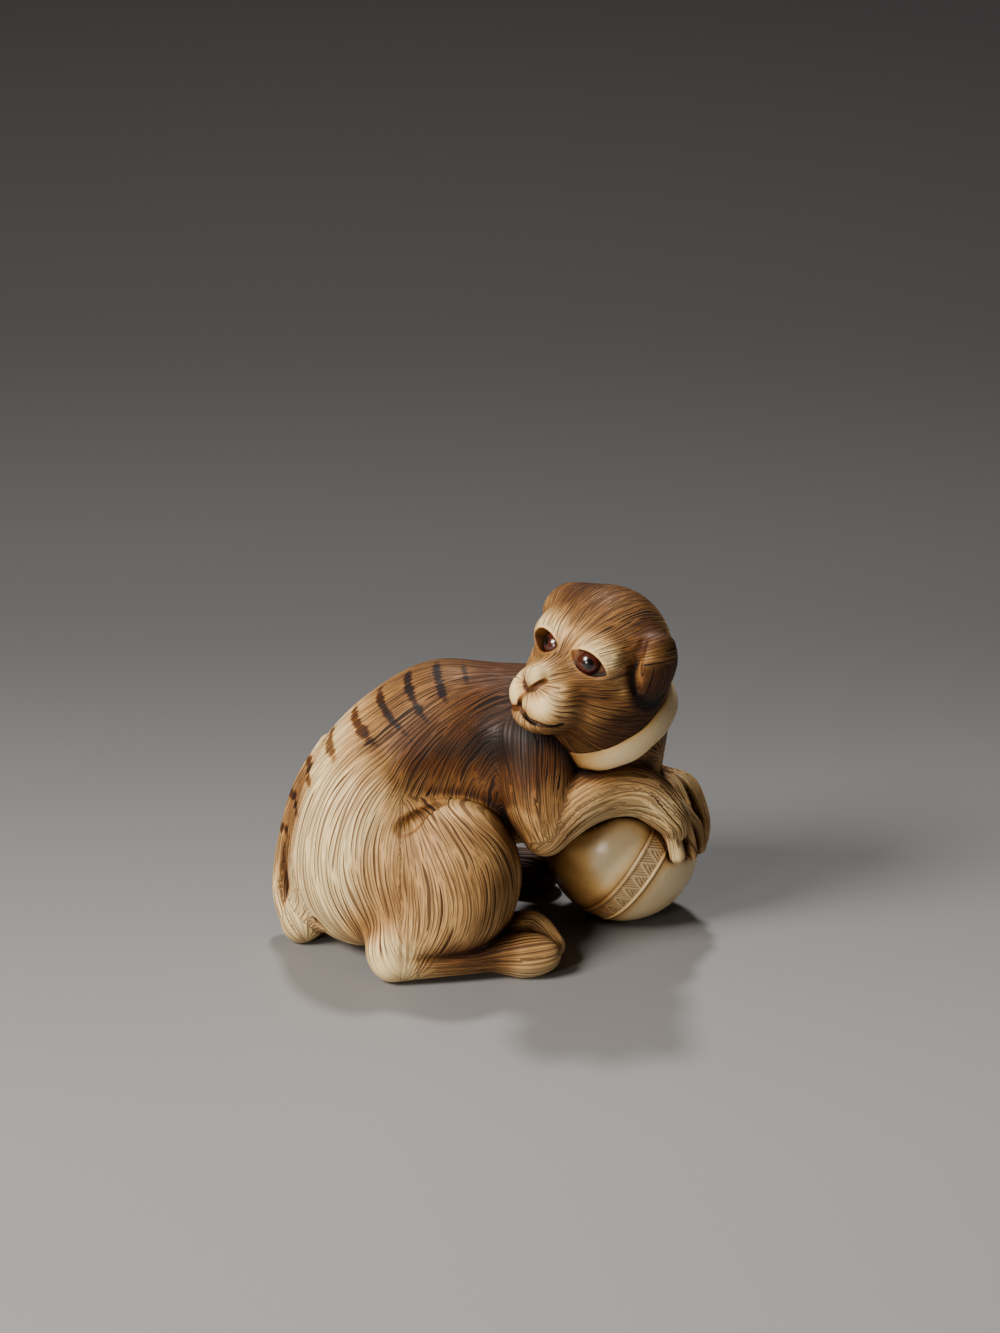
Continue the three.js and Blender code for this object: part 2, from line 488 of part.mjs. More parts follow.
// ---------- thin the skin: merge the edges whose loss changes the form least ----------
function thin({ pos, tri }, target) {
  const nv = pos.length / 3;
  const P3 = (v) => [pos[3 * v], pos[3 * v + 1], pos[3 * v + 2]];
  const sub = (a, b) => [a[0] - b[0], a[1] - b[1], a[2] - b[2]];
  const Q = new Float64Array(nv * 10);
  const faces = Array.from({ length: nv }, () => []);
  const nf = tri.length / 3;
  const alive = new Uint8Array(nf).fill(1);
  for (let f = 0; f < nf; f++) {
    const [a, b, c] = [tri[3 * f], tri[3 * f + 1], tri[3 * f + 2]];
    const n = cross(sub(P3(b), P3(a)), sub(P3(c), P3(a)));
    const l = Math.hypot(...n) || 1e-12;
    const [p, q, r] = n.map((t) => t / l);
    const s = -dot([p, q, r], P3(a)),
      w = l / 2;
    const k = [p * p, p * q, p * r, p * s, q * q, q * r, q * s, r * r, r * s, s * s];
    for (const v of [a, b, c]) {
      faces[v].push(f);
      for (let i = 0; i < 10; i++) Q[10 * v + i] += k[i] * w;
    }
  }
  const stamp = new Int32Array(nv);
  const heap = []; // [cost, a, b, stampA, stampB, x, y, z]
  const up = (i) => {
    const e = heap[i];
    while (i) {
      const p = (i - 1) >> 1;
      if (heap[p][0] <= e[0]) break;
      heap[i] = heap[p];
      i = p;
    }
    heap[i] = e;
  };
  const pop = () => {
    const top = heap[0],
      e = heap.pop();
    if (heap.length) {
      let i = 0;
      for (;;) {
        let c = 2 * i + 1;
        if (c >= heap.length) break;
        if (c + 1 < heap.length && heap[c + 1][0] < heap[c][0]) c++;
        if (heap[c][0] >= e[0]) break;
        heap[i] = heap[c];
        i = c;
      }
      heap[i] = e;
    }
    return top;
  };
  const costAt = (q, [x, y, z]) =>
    x * (q[0] * x + 2 * (q[1] * y + q[2] * z + q[3])) +
    y * (q[4] * y + 2 * (q[5] * z + q[6])) +
    z * (q[7] * z + 2 * q[8]) +
    q[9];
  const offer = (a, b) => {
    const q = new Float64Array(10);
    for (let i = 0; i < 10; i++) q[i] = Q[10 * a + i] + Q[10 * b + i];
    const A = P3(a),
      B = P3(b),
      mid = A.map((c, i) => (c + B[i]) / 2);
    // lean towards the middle of the edge, so that flat places stay evenly spread
    const g = 1e-3 * (q[0] + q[4] + q[7]) + 1e-9;
    const [a0, a1, a2, b1, b2, c2] = [q[0] + g, q[1], q[2], q[4] + g, q[5], q[7] + g];
    const [x0, x1, x2] = [-q[3] + g * mid[0], -q[6] + g * mid[1], -q[8] + g * mid[2]];
    const m0 = b1 * c2 - b2 * b2,
      m1 = a2 * b2 - a1 * c2,
      m2 = a1 * b2 - a2 * b1;
    const det = a0 * m0 + a1 * m1 + a2 * m2;
    let p = mid;
    if (Math.abs(det) > 1e-14) {
      const s = [
        (x0 * m0 + x1 * m1 + x2 * m2) / det,
        (x0 * m1 + x1 * (a0 * c2 - a2 * a2) + x2 * (a1 * a2 - a0 * b2)) / det,
        (x0 * m2 + x1 * (a1 * a2 - a0 * b2) + x2 * (a0 * b1 - a1 * a1)) / det,
      ];
      const len = Math.hypot(...sub(A, B));
      if (Math.hypot(...sub(s, mid)) < len * 1.5) p = s;
    }
    const len2 = dot(sub(A, B), sub(A, B));
    heap.push([costAt(q, p) + 1e-5 * len2, a, b, stamp[a], stamp[b], ...p]);
    up(heap.length - 1);
  };
  for (let f = 0; f < nf; f++)
    for (let i = 0; i < 3; i++) {
      const a = tri[3 * f + i],
        b = tri[3 * f + ((i + 1) % 3)];
      if (a < b) offer(a, b);
    }
  const ring = (v) => {
    const s = new Set();
    for (const f of faces[v]) for (let i = 0; i < 3; i++) s.add(tri[3 * f + i]);
    s.delete(v);
    return s;
  };
  let left = nf;
  while (left > target && heap.length) {
    const [, a, b, sa, sb, x, y, z] = pop();
    if (stamp[a] !== sa || stamp[b] !== sb) continue;
    const ra = ring(a),
      rb = ring(b);
    let shared = 0;
    for (const v of ra) if (rb.has(v)) shared++;
    if (shared !== 2) continue; // keeps the skin closed and unpinched
    const p = [x, y, z];
    let bad = false;
    for (const v of [a, b]) {
      for (const f of faces[v]) {
        const t = [tri[3 * f], tri[3 * f + 1], tri[3 * f + 2]];
        if (t.includes(a) && t.includes(b)) continue;
        const old = t.map(P3),
          now = t.map((w, i) => (w === v ? p : old[i]));
        const n0 = cross(sub(old[1], old[0]), sub(old[2], old[0])),
          n1 = cross(sub(now[1], now[0]), sub(now[2], now[0]));
        const l0 = Math.hypot(...n0),
          l1 = Math.hypot(...n1);
        const sides = [sub(now[1], now[0]), sub(now[2], now[1]), sub(now[0], now[2])];
        const longest = Math.max(...sides.map((v) => dot(v, v)));
        if (dot(n0, n1) < MOST_TURN * l0 * l1 || l1 < LEAST_WIDTH * longest) {
          bad = true;
          break;
        }
      }
      if (bad) break;
    }
    if (bad) continue;
    [pos[3 * a], pos[3 * a + 1], pos[3 * a + 2]] = p;
    for (let i = 0; i < 10; i++) Q[10 * a + i] += Q[10 * b + i];
    for (const f of faces[b]) {
      const t = [tri[3 * f], tri[3 * f + 1], tri[3 * f + 2]];
      if (t.includes(a)) {
        alive[f] = 0;
        left--;
        for (const w of t) if (w !== b) faces[w] = faces[w].filter((g) => g !== f);
      } else {
        for (let i = 0; i < 3; i++) if (tri[3 * f + i] === b) tri[3 * f + i] = a;
        faces[a].push(f);
      }
    }
    faces[b] = [];
    stamp[b]++;
    stamp[a]++;
    for (const v of ring(a)) offer(Math.min(a, v), Math.max(a, v));
  }
  const used = new Int32Array(nv).fill(-1),
    outPos = [],
    outTri = [];
  for (let f = 0; f < nf; f++)
    if (alive[f])
      for (let i = 0; i < 3; i++) {
        const v = tri[3 * f + i];
        if (used[v] < 0) {
          used[v] = outPos.length / 3;
          outPos.push(...P3(v));
        }
        outTri.push(used[v]);
      }
  return { pos: outPos, tri: outTri };
}

// ---------- build ----------
const wasm = await Module();
wasm.setup();
const solid = (pos, tri) => {
  const vertProperties = Float32Array.from(pos);
  const triVerts = Uint32Array.from(tri);
  return new wasm.Manifold(new wasm.Mesh({ numProp: 3, vertProperties, triVerts }));
};
function solidOf(geometry) {
  // three.js shapes repeat the vertices along their seams: weld them
  const p = geometry.toNonIndexed().getAttribute("position");
  const seen = new Map(),
    pos = [],
    tri = [];
  for (let i = 0; i < p.count; i++) {
    const q = [p.getX(i), p.getY(i), p.getZ(i)];
    const key = q.map((c) => Math.round(c * 1e4)).join();
    if (!seen.has(key)) {
      seen.set(key, pos.length / 3);
      pos.push(...q);
    }
    tri.push(seen.get(key));
  }
  const keep = [];
  for (let i = 0; i < tri.length; i += 3) {
    const [a, b, c] = [tri[i], tri[i + 1], tri[i + 2]];
    if (a !== b && b !== c && a !== c) keep.push(a, b, c);
  }
  return solid(pos, keep);
}

const eyes = Object.entries(LIDS).map(([name, lids]) => [name, headToWorld(beadAt(lids))]);
const bead = (at, r) => new THREE.SphereGeometry(r, 16, 12).translate(...at);

const shell = skin(carving, [-23, -14, -1.6], [23, 18, 38], CELL);
settle(carving, shell.pos, CELL / 2);
const thinned = thin(shell, TRIANGLES);

const ground = new THREE.BoxGeometry(80, 80, 20);
ground.translate(0, 0, -10);
let body = solid(thinned.pos, thinned.tri).subtract(solidOf(ground));
for (const [, at] of eyes) body = body.subtract(solidOf(bead(at, EYE.bead + EYE.gap)));
// pockets shut in between touching parts are filled: only the outer skin stays
body = body.decompose().reduce((a, b) => (b.volume() > a.volume() ? b : a));
body = body.simplify(SLIVER); // drops what the cuts leave
const mesh = body.getMesh();
const geometry = new THREE.BufferGeometry();
const points = new Float32Array(mesh.numVert * 3);
for (let i = 0; i < mesh.numVert; i++) {
  for (let c = 0; c < 3; c++) points[3 * i + c] = mesh.vertProperties[i * mesh.numProp + c];
}
geometry.setAttribute("position", new THREE.BufferAttribute(points, 3));
geometry.setIndex(new THREE.BufferAttribute(new Uint32Array(mesh.triVerts), 1));

// stand the carving over the origin: centre of its box in plan, rest plane at Z = 0
geometry.computeBoundingBox();
const middle = geometry.boundingBox.getCenter(new THREE.Vector3());
geometry.translate(-middle.x, -middle.y, 0);
geometry.computeVertexNormals();

const ivory = new THREE.MeshStandardMaterial({ color: 0xdcc08f, roughness: 0.38, metalness: 0 });
const horn = new THREE.MeshStandardMaterial({ color: 0x3a1710, roughness: 0.12, metalness: 0 });

const root = new THREE.Group();
const add = (name, geo, material) => {
  const m = new THREE.Mesh(geo, material);
  m.name = name;
  root.add(m);
};
add("carving", geometry, ivory);
for (const [name, [x, y, z]] of eyes) {
  add(name, bead([x - middle.x, y - middle.y, z], EYE.bead), horn.clone());
}

export default root;
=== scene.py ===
"""Netsuke: ivory puppy with a ball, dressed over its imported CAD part."""
import math

import bpy
import numpy as np
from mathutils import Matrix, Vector


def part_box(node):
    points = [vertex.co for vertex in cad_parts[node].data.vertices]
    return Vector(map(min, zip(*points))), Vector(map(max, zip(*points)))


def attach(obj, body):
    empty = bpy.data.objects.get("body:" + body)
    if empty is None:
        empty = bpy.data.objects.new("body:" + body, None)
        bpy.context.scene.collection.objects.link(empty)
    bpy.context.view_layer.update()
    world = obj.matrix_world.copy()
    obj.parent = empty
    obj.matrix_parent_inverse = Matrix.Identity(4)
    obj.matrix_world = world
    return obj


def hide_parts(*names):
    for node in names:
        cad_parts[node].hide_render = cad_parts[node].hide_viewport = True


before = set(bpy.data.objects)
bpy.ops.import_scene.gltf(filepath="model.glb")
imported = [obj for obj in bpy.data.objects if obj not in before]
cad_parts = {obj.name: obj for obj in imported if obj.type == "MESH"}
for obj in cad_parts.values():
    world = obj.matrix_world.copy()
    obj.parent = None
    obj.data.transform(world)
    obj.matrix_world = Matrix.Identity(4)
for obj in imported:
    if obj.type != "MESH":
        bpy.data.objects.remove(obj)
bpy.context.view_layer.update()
MM = 0.001

# ------------------------------------------------------------------ sizes in mm, as in the part's source
HEAD_AT = np.array([10.4, 0.3, 29.2])
YAW, PITCH, ROLL = (math.radians(a) for a in (45, 3, 10))
EYE_R, EYE_SUNK = 1.3, 1.2
MIDLINE = 0.28  # the brow and cheeks sit a little askew of the nose
BALL_AT, BALL_R = np.array([12.4, 6.4, 7.08]), 7.3
COLLAR_AT, COLLAR_AXIS = np.array([11.0, 1.5, 23.0]), np.array([-0.4, -0.34, 0.86])
COLLAR_R, COLLAR_HALF, COLLAR_ROUND = 5.45, (0.5, 0.9), 0.5
STROKE = 0.42        # between engraved hairs on the body
HEAD_STROKE = 0.26   # and on the head
RIPPLE_DEPTH = 0.028       # of the low ripples that run with the hair
HEAD_RIPPLE_DEPTH = 0.026
BODY_CELL = 0.24
HEAD_CELL = 0.115
BLOCK = 400000  # points worked out at a time


def V(*a):
    return np.array(a, float)


def unit(a):
    a = np.array(a, float)
    return a / np.linalg.norm(a)


# ------------------------------------------------------------------ distance fields
def smin(a, b, k):
    h = np.maximum(k - np.abs(a - b), 0) / k
    return np.minimum(a, b) - h * h * k * 0.25


def smax(a, b, k):
    return -smin(-a, -b, k)


def ease(x, a, b):
    t = np.clip((x - a) / (b - a), 0, 1)
    return t * t * (3 - 2 * t)


def egg(p, c, r, axes=None):
    q = p - np.array(c, float)
    if axes is not None:
        q = q @ axes.T
    r = np.array(r, float)
    k0 = np.sqrt(((q / r) ** 2).sum(1))
    k1 = np.sqrt(((q / (r * r)) ** 2).sum(1)) + 1e-9
    return k0 * (k0 - 1) / k1


def ball(p, c, r):
    return np.sqrt(((p - c) ** 2).sum(1)) - r


def bone(p, a, b, ra, rb):
    ba = b - a
    l2 = ba @ ba
    rr = ra - rb
    a2 = l2 - rr * rr
    if a2 <= 0:
        return ball(p, a, ra) if ra > rb else ball(p, b, rb)
    il2 = 1 / l2
    pa = p - a
    y = pa @ ba
    z = y - l2
    x2 = ((pa * l2 - y[:, None] * ba) ** 2).sum(1)
    y2 = y * y * l2
    z2 = z * z * l2
    k = np.sign(rr) * rr * rr * x2
    d = (np.sqrt(x2 * a2 * il2) + y * rr) * il2 - ra
    d = np.where(np.sign(y) * a2 * y2 < k, np.sqrt(x2 + y2) * il2 - ra, d)
    return np.where(np.sign(z) * a2 * z2 > k, np.sqrt(x2 + z2) * il2 - rb, d)


def path(joints, radii, steps=6):
    c = np.c_[np.array(joints, float), np.array(radii, float)]
    n = len(c)
    out = []
    for i in range(n - 1):
        p0, p1, p2, p3 = c[max(i - 1, 0)], c[i], c[i + 1], c[min(i + 2, n - 1)]
        for s in range(steps):
            t = s / steps
            square = (2 * p0 - 5 * p1 + 4 * p2 - p3) * t * t
            cube = (3 * p1 - p0 - 3 * p2 + p3) * t ** 3
            out.append(0.5 * (2 * p1 + (p2 - p0) * t + square + cube))
    out.append(c[-1])
    return np.array(out)


class Limb:
    def __init__(self, joints, radii, steps=6):
        self.c = path(joints, radii, steps)
        self.lo = (self.c[:, :3] - self.c[:, 3:]).min(0)
        self.hi = (self.c[:, :3] + self.c[:, 3:]).max(0)

    def __call__(self, p):
        far = np.sqrt((np.maximum(np.maximum(self.lo - p, p - self.hi), 0) ** 2).sum(1))
        d = far.copy()
        near = far < 4.5
        if near.any():
            q = p[near]
            e = np.full(len(q), np.inf)
            for a, b in zip(self.c[:-1], self.c[1:]):
                e = np.minimum(e, bone(q, a[:3], b[:3], a[3], b[3]))
            d[near] = e
        return d

    def along(self, p):
        """place along the limb in mm, angle round it, and its thickness there"""
        best = np.full(len(p), np.inf)
        s = np.zeros(len(p))
        ang = np.zeros(len(p))
        rad = np.ones(len(p))
        run = 0.0
        side = None
        for a, b in zip(self.c[:-1], self.c[1:]):
            ba = b[:3] - a[:3]
            L = np.linalg.norm(ba)
            t = np.clip(((p - a[:3]) @ ba) / (L * L), 0, 1)
            q = p - a[:3] - t[:, None] * ba
            r = a[3] + (b[3] - a[3]) * t
            d = np.sqrt((q * q).sum(1)) - r
            w = ba / L
            side = unit(np.cross(w, V(0, 1, 0))) if side is None else unit(side - (side @ w) * w)
            up = np.cross(w, side)
            m = d < best
            best = np.where(m, d, best)
            s = np.where(m, run + t * L, s)
            ang = np.where(m, np.arctan2(q @ side, q @ -up), ang)
            rad = np.where(m, r, rad)
            run += L
        return s, ang, rad


F = V(-math.sin(YAW) * math.cos(PITCH), -math.cos(YAW) * math.cos(PITCH), math.sin(PITCH))
_s = V(math.cos(YAW), -math.sin(YAW), 0)
_u = np.cross(F, _s)
S = _s * math.cos(ROLL) - _u * math.sin(ROLL)
U = _u * math.cos(ROLL) + _s * math.sin(ROLL)
FSU = np.array([F, S, U])
eye_n = unit(V(0.8, 0.52, 0.28))
eye_t = V(-0.5, 0.79, -0.3)
eye_t = unit(eye_t - (eye_t @ eye_n) * eye_n)
EYE_AXES = np.array([eye_n, eye_t, np.cross(eye_n, eye_t)])

EYES = {  # where the almond's middle is, half its length and half its height
    "eye_left": (V(5.85, 3.15, 1.95), 1.95, 1.0),
    "eye_right": (V(5.9, -2.3, 1.75), 1.5, 1.0),
}


def eye_frame(name):
    at = EYES[name][0]
    return at, EYE_AXES * V(1, np.sign(at[1]), 1)


def almond(q, name, grow=0.0, depth=0.55):
    """the pocket of an eye: a lens between two arcs, sunk into the face"""
    at, axes = eye_frame(name)
    long, tall = EYES[name][1:]
    arc = (long ** 2 + tall ** 2) / (2 * tall)
    n, t, w = ((q - at) @ axes.T).T
    lens = np.maximum(np.hypot(t, w - arc + tall), np.hypot(t, w + arc - tall)) - arc - grow
    return np.maximum(lens, -n - depth)


def bead_at(name):
    at, axes = eye_frame(name)
    return at - EYE_SUNK * axes[0]


mouth = [
    Limb(
        [(10.0, -0.5, -3.4), (9.6, 0.67, -4.1), (9.45, 1.8, -4.1), (8.75, 2.7, -4.0), (8.2, 3.15, -3.75)],
        [0.2, 0.22, 0.22, 0.22, 0.25],
        4,
    ),
    Limb([(10.0, -0.5, -3.4), (9.8, -1.6, -4.0), (8.8, -2.9, -4.3)], [0.2, 0.2, 0.2], 4),
    Limb(
        [(10.1, 0.25, -1.3), (10.25, -0.25, -1.9), (10.25, -0.45, -2.5), (10.0, -0.5, -3.2)],
        [0.16, 0.16, 0.16, 0.2],
        4,
    ),
]
nostril = Limb(
    [(9.0, 1.3, 0.1), (9.6, 1.0, -0.3), (9.95, 0.5, -0.95), (10.1, 0.0, -1.3)],
    [0.12, 0.2, 0.2, 0.16],
    4,
)
ear_crease = Limb(
    [(1.4, 5.4, 4.2), (2.2, 5.8, 2.6), (2.35, 6.1, 1.0), (1.9, 6.2, -0.4)],
    [0.15, 0.35, 0.4, 0.2],
    4,
)
NEAR_EAR = ((-0.25, 6.2, 1.4), (2.45, 1.25, 3.3))
FAR_EAR = ((0.2, -5.75, 0.3), (2.4, 1.25, 4.0))


def head_local(p):
    q = (p - HEAD_AT) @ FSU.T
    m = q.copy()
    m[:, 1] = np.abs(m[:, 1] - MIDLINE)
    return q, m


def head(p):
    q, m = head_local(p)
    d = egg(q, (-0.2, -0.2, -0.2), (6.4, 6.4, 6.65))
    d = smin(d, egg(q, (0.2, 0.1, -4.05), (6.1, 6.4, 6.3)), 2.0)
    d = smin(d, egg(m, (4.3, 2.7, 1.9), (1.9, 2.3, 2.0)), 1.4)
    d = smin(d, egg(m, (3.2, 2.3, -2.9), (3.5, 3.1, 3.2)), 1.4)
    d = smin(d, egg(q, (5.4, 0.1, -2.6), (4.6, 3.5, 3.5)), 1.5)
    d = smin(d, egg(m, (7.6, 1.55, -2.5), (2.5, 1.9, 2.1)), 0.9)
    d = smin(d, egg(q, (7.3, -0.1, -4.5), (2.7, 2.8, 1.6)), 0.6)
    d = smin(d, egg(q, (7.3, 0.05, -0.4), (2.5, 1.2, 1.25)), 1.2)
    d = smin(d, egg(q, (9.1, 0, -0.1), (1.0, 1.0, 0.95)), 0.3)
    for line in mouth:
        d = smax(d, -line(q), 0.25)
    d = smax(d, -nostril(np.c_[q[:, 0], np.abs(q[:, 1]), q[:, 2]]), 0.2)
    for name in EYES:
        d = smax(d, -almond(q, name), 0.15)
    d = smin(d, egg(q, *NEAR_EAR), 0.2 + 2.4 * ease(q[:, 2], 2.2, 4.4))
    d = smax(d, -ear_crease(q), 0.5)
    return smin(d, egg(q, *FAR_EAR), 0.2 + 2.8 * ease(q[:, 2], 0.6, 3.4))


shank = (V(-9.55, -8.4, 2.85), V(-3.6, -7.0, 7.0), 2.3, 4.2)
thigh_pit = Limb(
    [(-8.4, -6.9, 14.7), (-7.5, -6.2, 14.9), (-6.2, -5.3, 15.6), (-4.8, -4.5, 16.2)],
    [0.5, 0.65, 0.4, 0.2],
    4,
)
tail_groove = Limb(
    [
        (-15.3, 4.0, 20.2), (-17.3, 2.0, 17.7), (-18.9, 0.6, 13.8),
        (-19.5, 0.2, 9.3), (-19.6, 1.2, 5.2), (-20.0, 0.9, 3.7),
    ],
    [0.3, 0.5, 0.55, 0.55, 0.5, 0.2],
)
tail_notch = Limb(
    [(-16.4, -3.7, 5.0), (-16.3, -3.7, 3.6), (-16.0, -3.9, 2.0), (-15.8, -3.7, 0.6)],
    [0.15, 0.3, 0.5, 0.7],
)
foot = Limb([(-9.3, -8.7, 2.3), (-4.8, -8.8, 2.0), (0.6, -7.7, 2.3)], [2.3, 1.5, 1.7])
toe = Limb([(0.6, -5.2, 3.3), (3.5, -4.6, 3.5), (5.5, -5.8, 2.2)], [1.4, 1.6, 1.3])
far_foot = Limb([(-9.5, 12.6, 2.2), (-3.0, 13.0, 2.1), (4.6, 11.8, 2.0)], [2.3, 1.8, 2.1])
upper_arm = Limb([(4.1, -0.6, 19.6), (4.3, -2.6, 15.5), (4.9, -3.6, 12.9)], [3.9, 3.2, 2.1], 8)
forearm = Limb(
    [
        (4.9, -3.6, 12.7), (7.7, -2.3, 15.35), (10.8, -0.6, 16.05),
        (14.0, 0.0, 15.35), (16.6, 0.2, 13.0), (17.2, 0.7, 11.3),
    ],
    [2.1, 2.75, 2.85, 2.45, 1.9, 1.3],
)
arm_inside = Limb([(6.5, -0.6, 12.6), (10.8, 2.0, 14.2), (15.0, 2.4, 13.4)], [1.8, 2.0, 1.8])
near_digits = [
    Limb([(16.1, -0.3, 12.8), (16.9, 0.35, 10.8), (17.45, 0.5, 8.6)], [1.1, 0.8, 0.78]),
    Limb([(16.9, 0.6, 12.9), (18.3, 1.7, 10.6), (18.8, 1.9, 8.1)], [1.1, 0.7, 0.65]),
    Limb([(17.3, 1.5, 12.9), (19.2, 3.1, 10.6), (19.6, 3.2, 8.4)], [1.1, 0.64, 0.58]),
]
far_upper = Limb([(5.5, 9.5, 18.0), (4.6, 11.6, 14.5), (4.8, 12.4, 11.8)], [3.4, 3.2, 2.7])
far_fore = Limb(
    [(5.2, 12.0, 12.0), (9.5, 9.8, 12.4), (13.2, 9.4, 12.6), (16.0, 8.2, 12.4)],
    [2.6, 2.9, 2.5, 2.0],
)
far_digits = [
    Limb([(15.9, 7.0, 13.0), (17.2, 4.6, 13.8), (18.0, 3.0, 12.6)], [1.6, 0.9, 0.8]),
    Limb([(16.4, 7.4, 13.0), (18.3, 5.6, 13.4), (19.8, 4.4, 10.6), (19.9, 4.2, 8.8)], [1.6, 1.0, 0.8, 0.7]),
    Limb([(16.4, 7.8, 12.9), (18.6, 6.9, 12.9), (20.0, 6.0, 9.7), (19.7, 5.6, 7.2)], [1.6, 1.1, 0.8, 0.7]),
    Limb(
        [(16.4, 8.4, 12.6), (18.3, 8.7, 12.0), (19.4, 8.3, 9.2), (19.1, 8.0, 7.2)],
        [1.6, 1.1, 0.85, 0.75],
    ),
]
tail_root = Limb([(-13.8, 0.6, 9.5), (-16.4, 0.0, 4.8), (-18.2, -0.1, 1.9)], [4.6, 3.0, 1.95])
tail_tip = Limb(
    [(-18.7, 0.3, 1.9), (-19.95, 2.4, 4.4), (-19.3, 3.4, 9.4), (-17.9, 4.0, 14.4), (-15.7, 4.5, 18.6)],
    [1.5, 1.1, 1.1, 1.0, 0.7],
)
cord_tunnel = Limb(
    [(-14.3, 4.5, -2), (-14.3, 4.5, 2.34), (-11.35, 4.5, 5.2), (-8.4, 4.5, 2.34), (-8.4, 4.5, -2)],
    [1.9, 1.9, 1.4, 1.4, 1.4],
)


def trunk(p):
    d = smin(egg(p, (-10.3, 3.8, 12.3), (7.4, 9.2, 9.4)), egg(p, (-12.8, 3.2, 7.0), (6.3, 8.0, 6.3)), 3)
    d = smin(d, egg(p, (-12.0, 4.5, 6.2), (5.5, 7.0, 6.4)), 1.5)
    d = smin(d, egg(p, (-4.0, 4.8, 17.0), (9.2, 7.8, 9.5)), 4)
    d = smin(d, egg(p, (4.5, 4.6, 17.5), (7.3, 7.2, 8.4)), 4)
    d = smin(d, bone(p, V(9.5, 7.6, 15.0), V(11.1, 2.2, 24.5), 6.6, 5.8), 2.5)
    return smax(d, -egg(p, (-3.6, -5.2, 18.2), (5.0, 2.4, 3.2)), 2)


def leg(p):
    d = smin(egg(p, (-3.7, -4.6, 8.9), (6.4, 6.2, 7.4)), bone(p, *shank), 2.4)
    return smin(d, egg(p, (-11.5, -0.2, 9.9), (6.7, 7.8, 8.9)), 3.2)


def near_foot(p):
    d = smin(foot(p), egg(p, (3.0, -7.6, 2.05), (3.4, 2.0, 2.15)), 0.8)
    return smin(d, toe(p), 0.25)


def far_leg(p):
    return smin(egg(p, (-5.0, 11.0, 7.8), (6.8, 4.4, 7.6)), far_foot(p), 1.5)


def near_arm(p):
    d = smin(smin(upper_arm(p), forearm(p), 0.5), arm_inside(p), 0.8)
    for f in near_digits:
        d = smin(d, f(p), 0.15)
    return d


def far_arm(p):
    d = smin(far_upper(p), far_fore(p), 0.8)
    for f in far_digits:
        d = smin(d, f(p), 0.15)
    return d


def body(p):
    d = smin(trunk(p), leg(p), 0.6 + 4 * ease(-p[:, 0], 8, 13))
    d = smax(d, -thigh_pit(p), 0.7)
    d = smin(d, near_foot(p), 0.3)
    d = smin(d, far_leg(p), 1.5)
    d = smin(d, near_arm(p), 0.5 + 2.4 * ease(p[:, 2], 19, 23))
    d = smin(d, far_arm(p), 0.4)
    d = smin(d, tail_root(p), 0.35)
    d = smax(smax(d, -tail_groove(p), 0.4), -tail_notch(p), 0.6)
    d = smin(d, tail_tip(p), 0.25)
    d = smax(d, -cord_tunnel(p), 0.4)
    return np.maximum(d, -p[:, 2])


def collar_field(p):
    n = unit(COLLAR_AXIS)
    q = p - COLLAR_AT
    h = q @ n
    r = np.sqrt(np.maximum((q * q).sum(1) - h * h, 0))
    thick = np.maximum(np.abs(r - COLLAR_R) - COLLAR_HALF[0], 0)
    tall = np.maximum(np.abs(h) - COLLAR_HALF[1], 0)
    return np.hypot(thick, tall) - COLLAR_ROUND


def everything(p):
    d = np.minimum(body(p), head(p))
    d = np.minimum(d, collar_field(p))
    return np.minimum(d, ball(p, BALL_AT, BALL_R))


# ------------------------------------------------------------------ skin a field
def sample(field, lo, hi, h):
    """the field on a grid of pitch h, worked out only close to the surface"""
    ax = [np.arange(lo[k], hi[k] + h, h) for k in range(3)]
    steps = (8 * h, 2 * h, h)
    prev = None
    for n, step in enumerate(steps):
        a = ax if n == 2 else [np.arange(lo[k] - step, hi[k] + 2 * step, step) for k in range(3)]
        if prev is None:
            G = np.stack(np.meshgrid(*a, indexing="ij"), -1)
            val = field(G.reshape(-1, 3)).reshape(G.shape[:3])
        else:
            pa, pv, pstep = prev
            ix = []
            for k in range(3):
                nearest = np.round((a[k] - pa[k][0]) / pstep).astype(int)
                ix.append(np.clip(nearest, 0, len(pa[k]) - 1))
            val = pv[np.ix_(*ix)].astype(np.float32)
            near = np.argwhere(np.abs(val) < pstep * 1.25)
            for i in range(0, len(near), BLOCK):
                c = near[i:i + BLOCK]
                pts = np.stack([a[k][c[:, k]] for k in range(3)], 1)
                val[c[:, 0], c[:, 1], c[:, 2]] = field(pts)
        prev = (a, val, step)
    return val, ax


